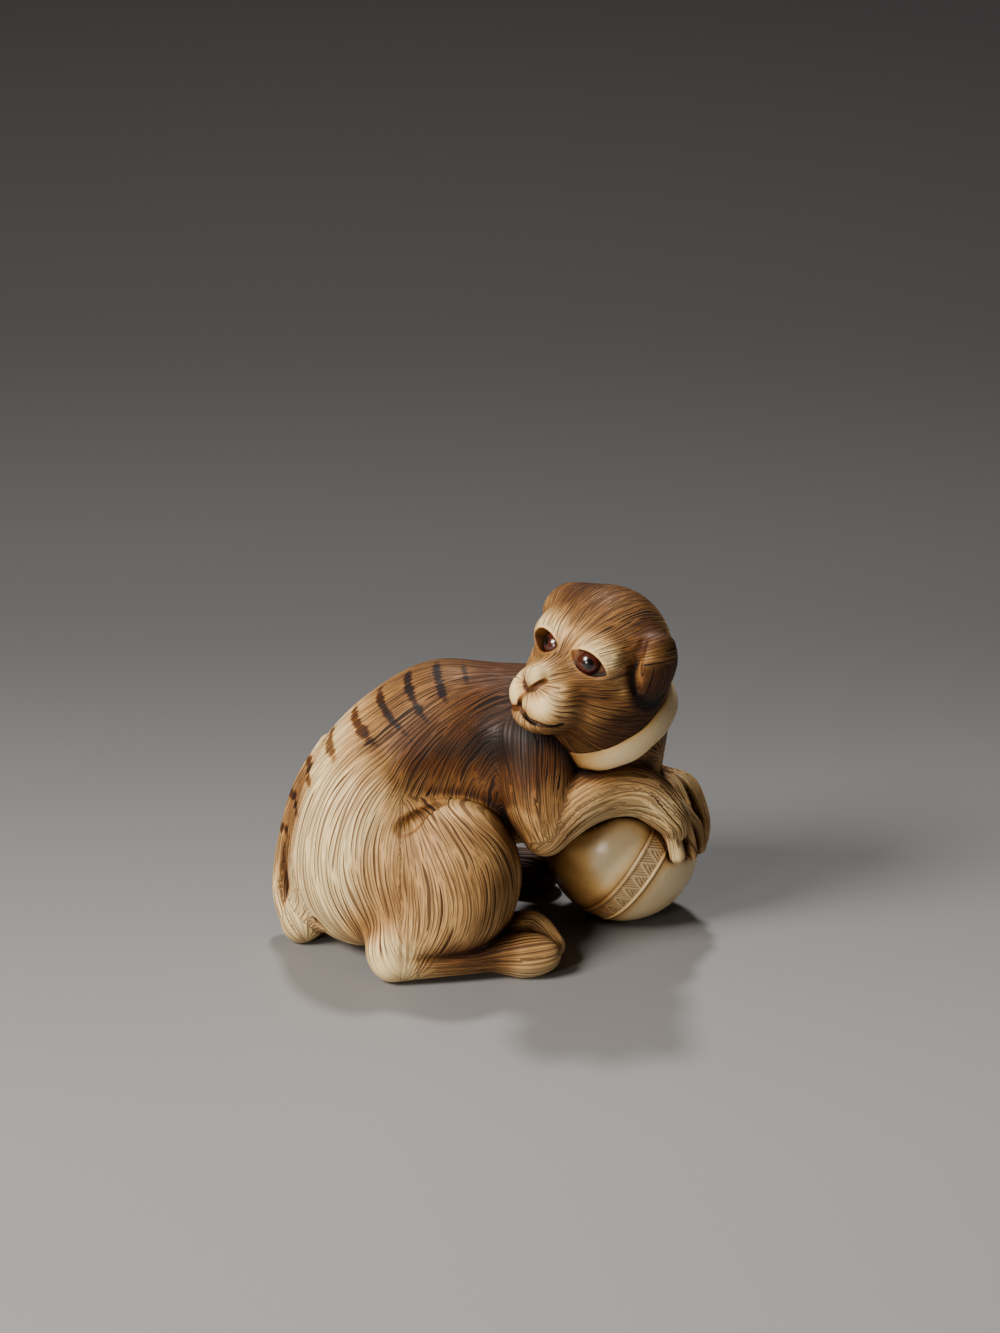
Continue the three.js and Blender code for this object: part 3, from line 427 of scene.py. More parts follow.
def skin(field, lo, hi, h):
    val, ax = sample(field, lo, hi, h)
    s = val < 0
    nx, ny, nz = val.shape
    n = np.zeros((nx - 1, ny - 1, nz - 1), np.int8)
    for dx in (0, 1):
        for dy in (0, 1):
            for dz in (0, 1):
                n += s[dx:nx - 1 + dx, dy:ny - 1 + dy, dz:nz - 1 + dz]
    ii = np.argwhere((n > 0) & (n < 8))
    idx = np.full(n.shape, -1, np.int32)
    idx[ii[:, 0], ii[:, 1], ii[:, 2]] = np.arange(len(ii))
    acc = np.zeros((len(ii), 3))
    cnt = np.zeros(len(ii))
    for axis in range(3):
        o = [k for k in range(3) if k != axis]
        for a in (0, 1):
            for b in (0, 1):
                c0 = [0, 0, 0]
                c0[o[0]], c0[o[1]] = a, b
                i0 = ii + c0
                c0[axis] = 1
                i1 = ii + c0
                v0 = val[i0[:, 0], i0[:, 1], i0[:, 2]]
                v1 = val[i1[:, 0], i1[:, 1], i1[:, 2]]
                m = (v0 < 0) != (v1 < 0)
                t = np.where(m, v0 / np.where(m, v0 - v1, 1), 0)
                acc += np.where(m[:, None], i0 + (i1 - i0) * t[:, None], 0)
                cnt += m
    verts = np.array([a[0] for a in ax]) + acc / cnt[:, None] * h
    quads = []
    for axis in range(3):
        o = [(axis + 1) % 3, (axis + 2) % 3]
        sl0, sl1 = [slice(1, -1)] * 3, [slice(1, -1)] * 3
        sl0[axis], sl1[axis] = slice(0, -1), slice(1, None)
        ch = np.argwhere(s[tuple(sl0)] != s[tuple(sl1)])
        off = np.zeros(3, int)
        off[o] = 1
        cell = ch + off
        first = s[cell[:, 0], cell[:, 1], cell[:, 2]]
        e0, e1 = np.zeros(3, int), np.zeros(3, int)
        e0[o[0]], e1[o[1]] = 1, 1
        q = np.stack([idx[tuple((cell - k).T)] for k in (e0 + e1, e1, 0 * e0, e0)], 1)
        quads.append(np.where(first[:, None], q, q[:, ::-1]))
    verts = settle(field, verts, h / 2)
    return verts, np.concatenate(quads)


def gradient(field, p, e=0.03):
    g = np.zeros_like(p)
    for k in range(3):
        d = np.zeros(3)
        d[k] = e
        g[:, k] = field(p + d) - field(p - d)
    return g / (2 * e)


def settle(field, p, reach):
    g = gradient(field, p)
    s = np.clip(field(p), -reach, reach) / np.maximum((g * g).sum(1), 0.5)
    return p - g * s[:, None]


# ------------------------------------------------------------------ where the engraved hair runs
def ripple(a, b):
    waves = np.sin(0.9 * a + 0.31 * b) + np.sin(0.47 * a - 0.77 * b + 1.3) + np.sin(1.9 * a + 0.53 * b + 2.1)
    return waves / 3


ARCH_AT, ARCH_R = V(5.6, 4.2, 13.7), 11.0   # the arc that the spine follows


def hair_arch(p):
    """along the back, from the neck over the rump and down: arcs round a point in the belly"""
    x, y, z = (p - ARCH_AT).T
    rho = np.hypot(x, z)
    phi = np.arctan2(-y, rho - ARCH_R)
    r = np.hypot(y, rho - ARCH_R)
    u = 8.5 * phi
    grad = 8.5 / np.maximum(r, 2.5)
    v = 12.0 * np.arctan2(z, -x)
    return u, v, grad


POLE_A, POLE_B = V(-8.6, 0, 17.0), V(-8.6, 0, 0.2)


def hair_thigh(p):
    """from the hollow above the knee round to the hock: circles through two poles"""
    q = p[:, [0, 2]]
    a, b = q - POLE_A[[0, 2]], q - POLE_B[[0, 2]]
    ra, rb = np.hypot(*a.T), np.hypot(*b.T)
    ang = np.arctan2(a[:, 0] * b[:, 1] - a[:, 1] * b[:, 0], (a * b).sum(1))
    u = 6.0 * ang
    apart = POLE_A[2] - POLE_B[2]
    grad = 6.0 * apart / np.maximum(ra * rb, 6.0)
    return u, ra, grad


def hair_limb(limb, p):
    s, ang, rad = limb.along(p)
    return ang * 2.4, s, 2.4 / np.maximum(rad, 0.6)


def level(grad, pitch=STROKE):
    return np.log2(1 / (pitch * np.maximum(grad, 0.05)))


def body_hair(p):
    """two lies of the hair, and how far the second takes over

    Each is u across the hair, v along it, and the power of two that makes the pitch right.
    """
    ua, va, ga = hair_arch(p)
    ub, vb, gb = hair_thigh(p)
    lg = leg(p)
    dt = trunk(p)
    w = ease(p[:, 0], -10.2, -7.4) * ease(dt - lg, -0.15, 0.25) * ease(-p[:, 1], 0.5, 2.5)
    A = np.stack([ua, va, level(ga)], 1)
    B = np.stack([ub, vb, level(gb)], 1)
    base = np.minimum(dt, lg)

    ft = near_foot(p)
    u, v, g = hair_limb(foot, p)
    u2, v2, g2 = hair_limb(toe, p)
    far = toe(p) < np.minimum(foot(p), egg(p, (3.0, -7.6, 2.05), (3.4, 2.0, 2.15)))
    u, v, g = (np.where(far, b, a) for a, b in ((u, u2), (v, v2), (g, g2)))
    on_foot = ease(base - ft, -0.6, 0.2) * ease(p[:, 0], -7.0, -4.0)
    m = on_foot > 0
    A[m] = np.where(w[m][:, None] > 0.5, B[m], A[m])
    B[m] = np.stack([u, v, level(g)], 1)[m]
    w[m] = on_foot[m]
    fa = far_arm(p)
    for f in [far_upper, far_fore] + far_digits:
        d = f(p)
        u, v, g = hair_limb(f, p)
        pick = (fa < base) & (d <= fa + 0.02)
        A[pick] = np.stack([u, v, level(g)], 1)[pick]
        w[pick] = 0
    up, fo = upper_arm(p), forearm(p)
    dig = np.minimum.reduce([f(p) for f in near_digits])
    u, v, g = hair_limb(upper_arm, p)
    wa = ease(base - up, -0.8, 0.3) * (up < np.minimum(fo, dig) + 0.01)
    m = (wa > 0) & (fa > base)
    B[m] = np.stack([u, v, level(g)], 1)[m]
    w[m] = wa[m]
    u, v, g = hair_limb(forearm, p)
    m = (np.minimum(fo, dig) < np.minimum(base, up)) & (fa > np.minimum(fo, dig))
    A[m] = np.stack([u, v, level(g)], 1)[m]
    w[m] = 0
    for t in (tail_root, tail_tip):
        d = t(p)
        u, v, g = hair_limb(t, p)
        m = (d < base - 0.02)
        A[m] = np.stack([u, v, level(g)], 1)[m]
        w[m] = 0
    fl = far_leg(p)
    u, v, g = hair_limb(far_foot, p)
    m = (fl < base) & (far_foot(p) < fl + 0.3)
    A[m] = np.stack([u, v, level(g)], 1)[m]
    w[m] = 0
    return A, B, w


def head_hair(p):
    q = head_local(p)[0]
    f, s, u = q.T
    # strokes start at the nose and spread back over the head, bent to pass over the brow
    ang = np.arctan2(s, u + 0.6)
    rho = np.hypot(s, u + 0.6)
    A = np.stack([ang * 6.0, (9.5 - f) * 1.2, level(6.0 / np.maximum(rho, 1.2), HEAD_STROKE)], 1)
    ear = np.minimum(egg(q, *NEAR_EAR), egg(q, *FAR_EAR)) < 0.15
    ear &= (np.abs(s) > 5.6) & (u < 2.4)
    B = np.stack([f + 0.06 * u * f, u, level(np.ones(len(p)), HEAD_STROKE)], 1)
    return A, B, ear.astype(float)


def relief(A, B, w):
    """low ripples that run with the hair at twice its spacing: 0 on a crest, about 1 in a furrow"""
    out = np.zeros(len(A))
    for H, k in ((A, 1 - w), (B, w)):
        L = H[:, 2] - 1.0
        for step in (0, 1):
            f = 2.0 ** (np.floor(L) + step)
            t = ease(L - np.floor(L), 0.3, 0.7)
            phase = H[:, 0] * f + 0.5 * ripple(H[:, 0] * f * 0.6, H[:, 1])
            cut = (0.5 + 0.5 * np.cos(2 * np.pi * phase)) ** 2
            cut *= 0.65 + 0.35 * ripple(H[:, 0] * f * 2.3, H[:, 1] * 1.3)
            out += k * cut * (t if step else 1 - t)
    return out


# ------------------------------------------------------------------ stain and wear
def shelter(p, n, reach=(0.25, 0.6, 1.3, 2.6)):
    """how shut in each point is, near and wide"""
    near = np.zeros(len(p))
    wide = np.zeros(len(p))
    for t in reach[:2]:
        near += np.clip(1 - everything(p + n * t) / t, 0, 1) / 2
    for t in reach[2:]:
        wide += np.clip(1 - everything(p + n * t) / t, 0, 1) / 2
    return near, wide


def put(mesh, name, data):
    if data.ndim == 1:
        layer = mesh.attributes.new(name, "FLOAT", "POINT")
        layer.data.foreach_set("value", data.astype(np.float32))
    else:
        layer = mesh.attributes.new(name, "FLOAT_VECTOR", "POINT")
        layer.data.foreach_set("vector", data.astype(np.float32).ravel())


node_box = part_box("eye_left")
SHIFT = (np.array(node_box[0]) + np.array(node_box[1])) / 2 / MM - (HEAD_AT + bead_at("eye_left") @ FSU)


def make(name, verts, faces):
    mesh = bpy.data.meshes.new(name)
    pts = ((verts + SHIFT) * MM).astype(np.float32)
    faces = np.asarray(faces, np.int32)
    mesh.vertices.add(len(pts))
    mesh.vertices.foreach_set("co", pts.ravel())
    mesh.loops.add(faces.size)
    mesh.loops.foreach_set("vertex_index", faces.ravel())
    mesh.polygons.add(len(faces))
    mesh.polygons.foreach_set("loop_start", np.arange(0, faces.size, faces.shape[1], dtype=np.int32))
    mesh.update(calc_edges=True)
    mesh.validate()
    mesh.polygons.foreach_set("use_smooth", np.ones(len(mesh.polygons), bool))
    obj = bpy.data.objects.new(name, mesh)
    bpy.context.scene.collection.objects.link(obj)
    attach(obj, "root")
    return obj


def patch(p, at, radii, soft=0.6):
    """1 inside an egg, fading to 0 outside it"""
    return ease(-egg(p, at, radii), -soft * min(radii), soft * min(radii))


def body_tone(p):
    """how dark the colour is before the hollows add theirs: 0 pale, 1 brown; on the far foot it is painted
    shade
    """
    x, y, z = p.T
    tone = 0.02 + 0.35 * ease(x, -16, -3) * ease(z, 11, 20) + 0.5 * ease(z, 17, 21.5) * ease(x, -16, -8)
    off_leg = ease(leg(p) - trunk(p), -0.1, 0.6)
    tone += 0.48 * off_leg * patch(p, (-2.0, -4.0, 17.0), (6.0, 6.0, 5.5), 0.7)  # flank
    tone += 0.25 * patch(p, (6.0, 0.0, 23.5), (6.5, 8.0, 5.0), 0.8)         # neck
    tone += 0.2 * patch(p, (4.2, -3.0, 15.0), (4.0, 5.0, 5.5), 0.5)         # upper arm
    tone += 0.55 * patch(p, (-3.0, -8.5, 2.5), (4.5, 3.0, 2.2), 0.7)        # instep
    tone += 0.4 * patch(p, (-1.5, -9.0, 9.0), (7.5, 5.0, 8.0), 0.6)         # thigh
    tone += 0.5 * patch(p, (-19.0, 2.0, 12.0), (2.2, 3.5, 9.0), 0.6)        # tail
    tone += 0.25 * patch(p, (4.5, -8.0, 3.5), (2.5, 3.5, 2.2), 0.7)         # between toe and sole
    tone += 0.2 * ease(z, 15.0, 12.0) * ease(x, 7.0, 12.0)                  # paws
    tone -= 0.25 * patch(p, (17.6, -0.6, 8.8), (1.6, 1.6, 2.0), 0.6)        # nail
    # painted shade: the far foot stands in darkness, so it is painted dark here
    tone += 0.9 * ease(y, 5.0, 8.0) * ease(-z, -9.0, -6.0) * ease(x, -6.0, -2.0)  # far foot
    return np.clip(tone, 0, 1.4)


def head_tone(q, m):
    f, s, u = q.T
    tone = 0.32 + 0.5 * ease(u, 3.0, 6.0) + 0.35 * ease(-u, 0.0, 4.0) + 0.3 * ease(s, 4.5, 6.5)
    tone -= 0.55 * patch(q, (8.5, 0.2, -2.4), (3.6, 3.4, 2.6), 0.5)         # muzzle
    tone -= 0.3 * patch(q, (9.3, 0.0, 0.0), (1.5, 1.5, 1.3), 0.5)           # nose
    tone -= 0.3 * patch(m, (5.2, 3.3, 3.4), (2.2, 2.6, 1.5), 0.6)           # brows
    tone -= 0.3 * patch(q, (3.0, 6.2, 2.2), (2.2, 2.0, 3.0), 0.6)           # before the ear
    tone += 0.3 * patch(q, (5.6, 3.8, -0.9), (2.6, 2.2, 1.2), 0.6)          # under the eye
    flap = egg(q, *NEAR_EAR)
    edge = ease(s, 4.6, 5.6) * ease(-u, -3.4, -1.6)
    tone += 0.8 * edge * ease(flap, -0.15, 0.1) * ease(-flap, -1.3, -0.4)   # painted shade round the ear's edge
    for line, depth in zip(mouth, (0.3, 0.5, 0.9)):
        tone += depth * ease(-line(q), -0.2, 0.0)
    tone += 1.0 * ease(-nostril(np.c_[f, np.abs(s), u]), -0.25, 0.0)
    tone += 0.2 * patch(q, (1.5, 5.5, -6.5), (5.0, 3.0, 3.5), 0.6)          # jaw
    for name in EYES:
        tone += 0.5 * ease(-almond(q, name, 0.1, 9), -0.05, 0.1)            # the lids' insides
    return np.clip(tone, 0, 1.5)


BAR_PITCH = 7.9  # degrees round the arch


def stripes(p):
    """short dark bars across the spine"""
    x, y, z = (p - ARCH_AT).T
    turn = np.degrees(np.arctan2(z, -x))  # 0 at the rump, 90 at the top of the back
    slanted = turn - 1.0 - 0.35 * y + 1.2 * ripple(turn * 0.1, y * 0.6)
    bar = 0.5 + 0.5 * np.cos(2 * np.pi * slanted / BAR_PITCH)
    keep = ease(turn, -14, -4) * ease(-turn, -84, -70)
    side = np.exp(-np.abs((y + 2.2) / 3.6) ** 3)
    return bar ** 3.5 * keep * side * ease(np.hypot(x, z), 13.0, 16.0)


# the body
verts, quads = skin(body, (-23, -14, -0.6), (23, 18, 31), BODY_CELL)
n = gradient(body, verts)
n /= np.linalg.norm(n, axis=1)[:, None] + 1e-9
A, B, w = body_hair(verts)
near, wide = shelter(verts, n)
smooth = np.maximum.reduce([
    ease(-verts[:, 2], -0.5, -0.1),                                    # worn underside
    ease(-ball(verts, V(18.1, -0.6, 9.0), 1.2), 0.0, 0.5),              # the pale nail
    ease(-ball(verts, V(-9.6, -10.2, 2.0), 2.2), 0.0, 1.4) * 0.8,       # worn heel
])
cut = relief(A, B, w) * (1 - smooth)
carved = verts - n * (RIPPLE_DEPTH * cut)[:, None]
carved[:, 2] = np.maximum(carved[:, 2], 0)
puppy = make("puppy_body", carved, quads)
put(puppy.data, "hair_a", A)
put(puppy.data, "hair_b", B)
put(puppy.data, "mix_b", w)
put(puppy.data, "bare", smooth)
put(puppy.data, "near", near)
put(puppy.data, "wide", wide)
put(puppy.data, "tone", body_tone(verts))
put(puppy.data, "bars", stripes(verts))

# the head
lo = HEAD_AT - 12.5
hi = HEAD_AT + 10.0
verts, quads = skin(head, lo, hi, HEAD_CELL)
n = gradient(head, verts)
n /= np.linalg.norm(n, axis=1)[:, None] + 1e-9
A, B, w = head_hair(verts)
near, wide = shelter(verts, n)
q, m = head_local(verts)
smooth = np.maximum.reduce([
    ease(-ball(m, V(9.0, 0, -0.2), 1.3), 0.0, 0.4),
    ease(-ball(m, V(9.3, 1.4, -2.6), 1.9), 0.0, 0.8) * 0.9,
    *[ease(-almond(q, name, 0.45, 9), 0.0, 0.4) for name in EYES],
])
cut = relief(A, B, w) * (1 - smooth)
face = make("puppy_head", verts - n * (HEAD_RIPPLE_DEPTH * cut)[:, None], quads)
layers = {"hair_a": A, "hair_b": B, "mix_b": w, "bare": smooth, "near": near, "wide": wide}
for key, data in layers.items():
    put(face.data, key, data)
put(face.data, "tone", head_tone(q, m))
put(face.data, "bars", np.zeros(len(verts)))


# the ball, turned about the axis of its incised band
def grid_faces(rows, cols):
    i, j = np.meshgrid(np.arange(rows - 1), np.arange(cols), indexing="ij")
    a = i * cols + j
    b = i * cols + (j + 1) % cols
    return np.stack([a, b, b + cols, a + cols], -1).reshape(-1, 4)


BAND_AXIS = unit(V(-0.826, -0.0745, 0.56))
BAND_AT = -0.8        # from the ball's middle, along the axis
BAND_HALF = 1.2       # to the outside of its raised rims
RIM = 0.26            # width of a rim
TOOTH = 1.55          # base of a triangle
HATCH = 0.26          # between the lines cut in a triangle
CLOSE_HALF = 1.6      # how far from the band's middle the mesh is close
CLOSE_ROWS = 46
WIDE_ROWS = 34        # on either side of that
POLE_GAP = 0.004      # radians left open at each pole
cols = 860
t0 = math.acos((BAND_AT + CLOSE_HALF) / BALL_R)
t1 = math.acos((BAND_AT - CLOSE_HALF) / BALL_R)
rows = np.r_[
    np.linspace(POLE_GAP, t0, WIDE_ROWS, endpoint=False),
    np.linspace(t0, t1, CLOSE_ROWS, endpoint=False),
    np.linspace(t1, math.pi - POLE_GAP, WIDE_ROWS),
]
T, P = np.meshgrid(rows, np.arange(cols) * 2 * math.pi / cols, indexing="ij")
e1 = unit(np.cross(BAND_AXIS, V(0, 0, 1)))
e2 = np.cross(BAND_AXIS, e1)
around = np.cos(P)[..., None] * e1 + np.sin(P)[..., None] * e2
direction = np.sin(T)[..., None] * around + np.cos(T)[..., None] * BAND_AXIS
height = BALL_R * np.cos(T) - BAND_AT          # across the band
count = round(2 * math.pi * BALL_R / TOOTH)
cell = (P / (2 * math.pi) * count) % 1.0
fall = np.abs(2 * cell - 1)                    # the zigzag: 1, 0, 1 over one tooth
field_half = BAND_HALF - RIM - 0.06
across = (height / field_half + 1) / 2
slope = 4 * field_half / TOOTH                 # of the zigzag's sides
run = cell * TOOTH * slope
hatch = np.where(across > fall, run + height, run - height) / math.hypot(1, slope)
lines = 0.5 + 0.5 * np.cos(2 * math.pi * hatch / HATCH)
inside = ease(-np.abs(height), -(field_half + 0.04), -(field_half - 0.04))
rim = ease(-np.abs(np.abs(height) - (BAND_HALF - RIM / 2)), -RIM * 0.7, -RIM * 0.3)
zig = np.exp(-(((across - fall) * 2 * field_half / math.hypot(1, slope)) / 0.07) ** 2) * inside
groove = np.exp(-((np.abs(height) - BAND_HALF - 0.08) / 0.1) ** 2)
lift = 0.07 * rim - 0.05 * inside - 0.07 * inside * (1 - zig) * lines - 0.06 * groove
pts = BALL_AT + direction.reshape(-1, 3) * (BALL_R + lift.reshape(-1))[:, None]
pts[:, 2] = np.maximum(pts[:, 2], 0)
toy = make("ball", pts, grid_faces(len(rows), cols)[:, ::-1])
near, wide = shelter(pts, direction.reshape(-1, 3), (0.3, 0.7, 1.5, 3.0))
put(toy.data, "near", np.clip(near, 0, 1))
put(toy.data, "wide", wide)
inked = 0.25 * inside + 0.75 * inside * (1 - zig) * lines + 0.7 * groove
put(toy.data, "inked", np.clip(inked.reshape(-1), 0, 1))
# painted shadow: the ball darkens towards its lower left, where the haunch and elbow shade it
put(toy.data, "tone", 0.8 * ease(direction.reshape(-1, 3) @ unit(V(-0.8, -0.5, -0.35)), 0.62, 0.95))
put(toy.data, "band", np.exp(-((np.abs(height) - BAND_HALF - 0.2) / 0.5) ** 2).reshape(-1))

# the collar
n_col = unit(COLLAR_AXIS)
c1 = unit(np.cross(n_col, V(0, 1, 0)))
c2 = np.cross(n_col, c1)
turns = 260
profile = []
sides = 28
flatness = 1.6  # how soon a side of the section reaches its full width
for k in range(sides):
    a = 2 * math.pi * k / sides
    ca, sa = math.cos(a), math.sin(a)
    thick = COLLAR_HALF[0] * np.sign(ca) * min(1, abs(ca) * flatness) + COLLAR_ROUND * ca
    tall = COLLAR_HALF[1] * np.sign(sa) * min(1, abs(sa) * flatness) + COLLAR_ROUND * sa
    profile.append((thick, tall))
profile = np.array(profile)
th = np.arange(turns) * 2 * math.pi / turns
ring = np.cos(th)[:, None] * c1 + np.sin(th)[:, None] * c2
wob = 0.05 * np.sin(5 * th) + 0.04 * np.sin(11 * th + 1)
outward = ring[:, None, :] * (COLLAR_R + profile[:, 0][None, :, None])
upward = n_col * (profile[:, 1][None, :, None] * (1 + wob)[:, None, None])
pts = COLLAR_AT + outward + upward
i, j = np.meshgrid(np.arange(turns), np.arange(sides), indexing="ij")
i_next = (i + 1) % turns
j_next = (j + 1) % sides
corners = [i * sides + j, i_next * sides + j, i_next * sides + j_next, i * sides + j_next]
faces = np.stack(corners, -1).reshape(-1, 4)
pts = pts.reshape(-1, 3)
band = make("collar", pts, faces)
out = gradient(collar_field, pts)
near, wide = shelter(pts, out)
put(band.data, "near", near)
put(band.data, "wide", wide)
put(band.data, "inked", np.zeros(len(pts)))
put(band.data, "band", np.zeros(len(pts)))
put(band.data, "tone", 0.12 + 0.45 * ease(-pts[:, 0], -11.5, -7.5))

# the inlaid eyes
EYE_ROWS, EYE_COLS, EYE_POLE_GAP = 40, 64, 0.01
eyes = []
for name in EYES:
    at = HEAD_AT + bead_at(name) @ FSU
    out = eye_frame(name)[1][0] @ FSU
    a = unit(np.cross(out, V(0, 0, 1)))
    b = np.cross(out, a)
    tilt = np.linspace(EYE_POLE_GAP, math.pi - EYE_POLE_GAP, EYE_ROWS)
    turn = np.arange(EYE_COLS) * 2 * math.pi / EYE_COLS
    T, P = np.meshgrid(tilt, turn, indexing="ij")
    about = np.cos(P)[..., None] * a + np.sin(P)[..., None] * b
    d = np.sin(T)[..., None] * about + np.cos(T)[..., None] * out
    pts = at + d.reshape(-1, 3) * EYE_R
    obj = make(name + "_bead", pts, grid_faces(EYE_ROWS, EYE_COLS)[:, ::-1])
    put(obj.data, "pupil", np.cos(T).reshape(-1))
    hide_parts(name)
    eyes.append(obj)
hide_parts("carving")
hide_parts("carving")
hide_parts("carving")
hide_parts("carving")


# ------------------------------------------------------------------ materials
class Nodes:
    def __init__(self, name):
        self.mat = bpy.data.materials.new(name)
        self.mat.use_nodes = True
        self.t = self.mat.node_tree
        self.t.nodes.clear()
        self.out = self.t.nodes.new("ShaderNodeOutputMaterial")
        self.bsdf = self.t.nodes.new("ShaderNodeBsdfPrincipled")
        self.t.links.new(self.bsdf.outputs[0], self.out.inputs[0])

    def link(self, a, b):
        if isinstance(a, bpy.types.NodeSocket):
            self.t.links.new(a, b)
        else:
            b.default_value = a

    def attr(self, name, vector=False):
        nd = self.t.nodes.new("ShaderNodeAttribute")
        nd.attribute_name = name
        return nd.outputs["Vector" if vector else "Fac"]

    def math(self, op, a, b=0.0, c=0.0, clamp=False):
        nd = self.t.nodes.new("ShaderNodeMath")
        nd.operation = op
        nd.use_clamp = clamp
        for s, v in zip(nd.inputs, (a, b, c)):
            self.link(v, s)
        return nd.outputs[0]

    def range(self, x, a, b, c=0.0, d=1.0):
        nd = self.t.nodes.new("ShaderNodeMapRange")
        nd.interpolation_type = "SMOOTHSTEP"
        self.link(x, nd.inputs["Value"])
        for s, v in zip(("From Min", "From Max", "To Min", "To Max"), (a, b, c, d)):
            nd.inputs[s].default_value = v
        return nd.outputs[0]

    def mix(self, f, a, b):
        nd = self.t.nodes.new("ShaderNodeMix")
        nd.data_type = "RGBA"
        self.link(f, nd.inputs["Factor"])
        for key, v in (("A", a), ("B", b)):
            s = [i for i in nd.inputs if i.name == key and i.type == "RGBA"][0]
            self.link(v, s)
        return [o for o in nd.outputs if o.type == "RGBA"][0]

    def blend(self, a, b, t):
        """a where t is 0, b where it is 1"""
        rest = self.math("MULTIPLY", a, self.math("SUBTRACT", 1.0, t))
        return self.math("ADD", rest, self.math("MULTIPLY", b, t))

    def split(self, v):
        nd = self.t.nodes.new("ShaderNodeSeparateXYZ")
        self.link(v, nd.inputs[0])
        return nd.outputs

    def join(self, x, y, z=0.0):
        nd = self.t.nodes.new("ShaderNodeCombineXYZ")
        for s, v in zip(nd.inputs, (x, y, z)):
            self.link(v, s)
        return nd.outputs[0]

    def noise(self, vec, scale, detail=2.0, rough=0.5, distort=0.0):
        nd = self.t.nodes.new("ShaderNodeTexNoise")
        self.link(vec, nd.inputs["Vector"])
        nd.inputs["Scale"].default_value = scale
        nd.inputs["Detail"].default_value = detail
        nd.inputs["Roughness"].default_value = rough
        nd.inputs["Distortion"].default_value = distort
        return nd.outputs["Fac"]

    def random(self, vec):
        nd = self.t.nodes.new("ShaderNodeTexWhiteNoise")
        self.link(vec, nd.inputs["Vector"])
        return nd.outputs["Value"]

    def place(self, factor=1000.0):
        """where the point is on the object, in millimetres"""
        tc = self.t.nodes.new("ShaderNodeTexCoord")
        nd = self.t.nodes.new("ShaderNodeVectorMath")
        nd.operation = "SCALE"
        self.link(tc.outputs["Object"], nd.inputs[0])
        nd.inputs["Scale"].default_value = factor
        return nd.outputs[0]

    def bump(self, height, distance, strength=1.0):
        nd = self.t.nodes.new("ShaderNodeBump")
        nd.inputs["Strength"].default_value = strength
        nd.inputs["Distance"].default_value = distance
        self.link(height, nd.inputs["Height"])
        return nd.outputs[0]


def linear(c):
    c /= 255
    return c / 12.92 if c <= 0.04045 else ((c + 0.055) / 1.055) ** 2.4


def srgb(r, g, b):
    return linear(r), linear(g), linear(b), 1.0


PALE, CREAM, HONEY = srgb(252, 220, 158), srgb(220, 174, 112), srgb(158, 112, 60)
BROWN, UMBER = srgb(98, 56, 18), srgb(30, 13, 5)
CUT_BUMP = 0.00006    # metres that a stroke is deep
WEAR_BUMP = 0.00008   # and that worn ivory rises and falls


def ivory(g, colour, rough, height, distance, coat=0.04, specular=0.5):
    b = g.bsdf
    g.link(colour, b.inputs["Base Color"])
    g.link(rough, b.inputs["Roughness"])
    b.inputs["Subsurface Weight"].default_value = 0.05
    b.inputs["Subsurface Radius"].default_value = (1.0, 0.55, 0.3)
    b.inputs["Subsurface Scale"].default_value = 0.0002
    b.inputs["IOR"].default_value = 1.54
    b.inputs["Specular IOR Level"].default_value = specular
    b.inputs["Coat Weight"].default_value = coat
    b.inputs["Coat Roughness"].default_value = 0.22
    g.link(g.bump(height, distance), b.inputs["Normal"])


def dashes(g, u, v, length, seed):
    """tapered strokes one unit apart along u: 0 between them, 1 in the cut"""
    row = g.math("FLOOR", u)
    hop = g.random(g.join(row, seed, 0.0))
    along = g.math("ADD", g.math("DIVIDE", v, length), g.math("MULTIPLY", hop, 7.0))
    piece = g.math("FLOOR", along)
    pick = g.random(g.join(row, piece, seed))
    t = g.math("SUBTRACT", along, piece)
    taper = g.math("MULTIPLY", g.math("MULTIPLY", t, g.math("SUBTRACT", 1.0, t)), 4.0)
    aside = g.math("MULTIPLY", g.math("SUBTRACT", pick, 0.5), 0.4)
    off = g.math("ABSOLUTE", g.math("SUBTRACT", g.math("SUBTRACT", u, row), g.math("ADD", 0.5, aside)))
    half = g.math("ADD", 0.08, g.math("MULTIPLY", taper, 0.13))
    half = g.math("MULTIPLY", half, g.math("ADD", 0.7, g.math("MULTIPLY", hop, 0.6)))
    cut = g.range(g.math("DIVIDE", off, half), 1.15, 0.6)
    depth = g.math("ADD", 0.6, g.math("MULTIPLY", pick, 0.4))
    return g.math("MULTIPLY", cut, g.math("MULTIPLY", g.range(taper, 0.0, 0.35), depth))


def strokes(g, H):
    """engraved hair whose pitch stays about the same where the lines fan out"""
    u, v, lev = g.split(H)
    base = g.math("FLOOR", lev)
    frac = g.math("SUBTRACT", lev, base)
    t = g.range(frac, 0.35, 0.65)
    both = []
    for step in (0, 1):
        f = g.math("POWER", 2.0, g.math("ADD", base, float(step)))
        uf = g.math("MULTIPLY", u, f)
        wob = g.noise(g.join(g.math("MULTIPLY", uf, 0.35), g.math("MULTIPLY", v, 0.16)), 1.0, 1.0)
        uf = g.math("ADD", uf, g.math("MULTIPLY", g.math("SUBTRACT", wob, 0.5), 3.0))
        first = dashes(g, uf, v, 7.0, 1.7)
        second = dashes(g, g.math("ADD", uf, 0.5), v, 4.0, 5.3)
        both.append(g.math("MAXIMUM", first, g.math("MULTIPLY", second, 0.5)))
    return g.blend(both[0], both[1], t)


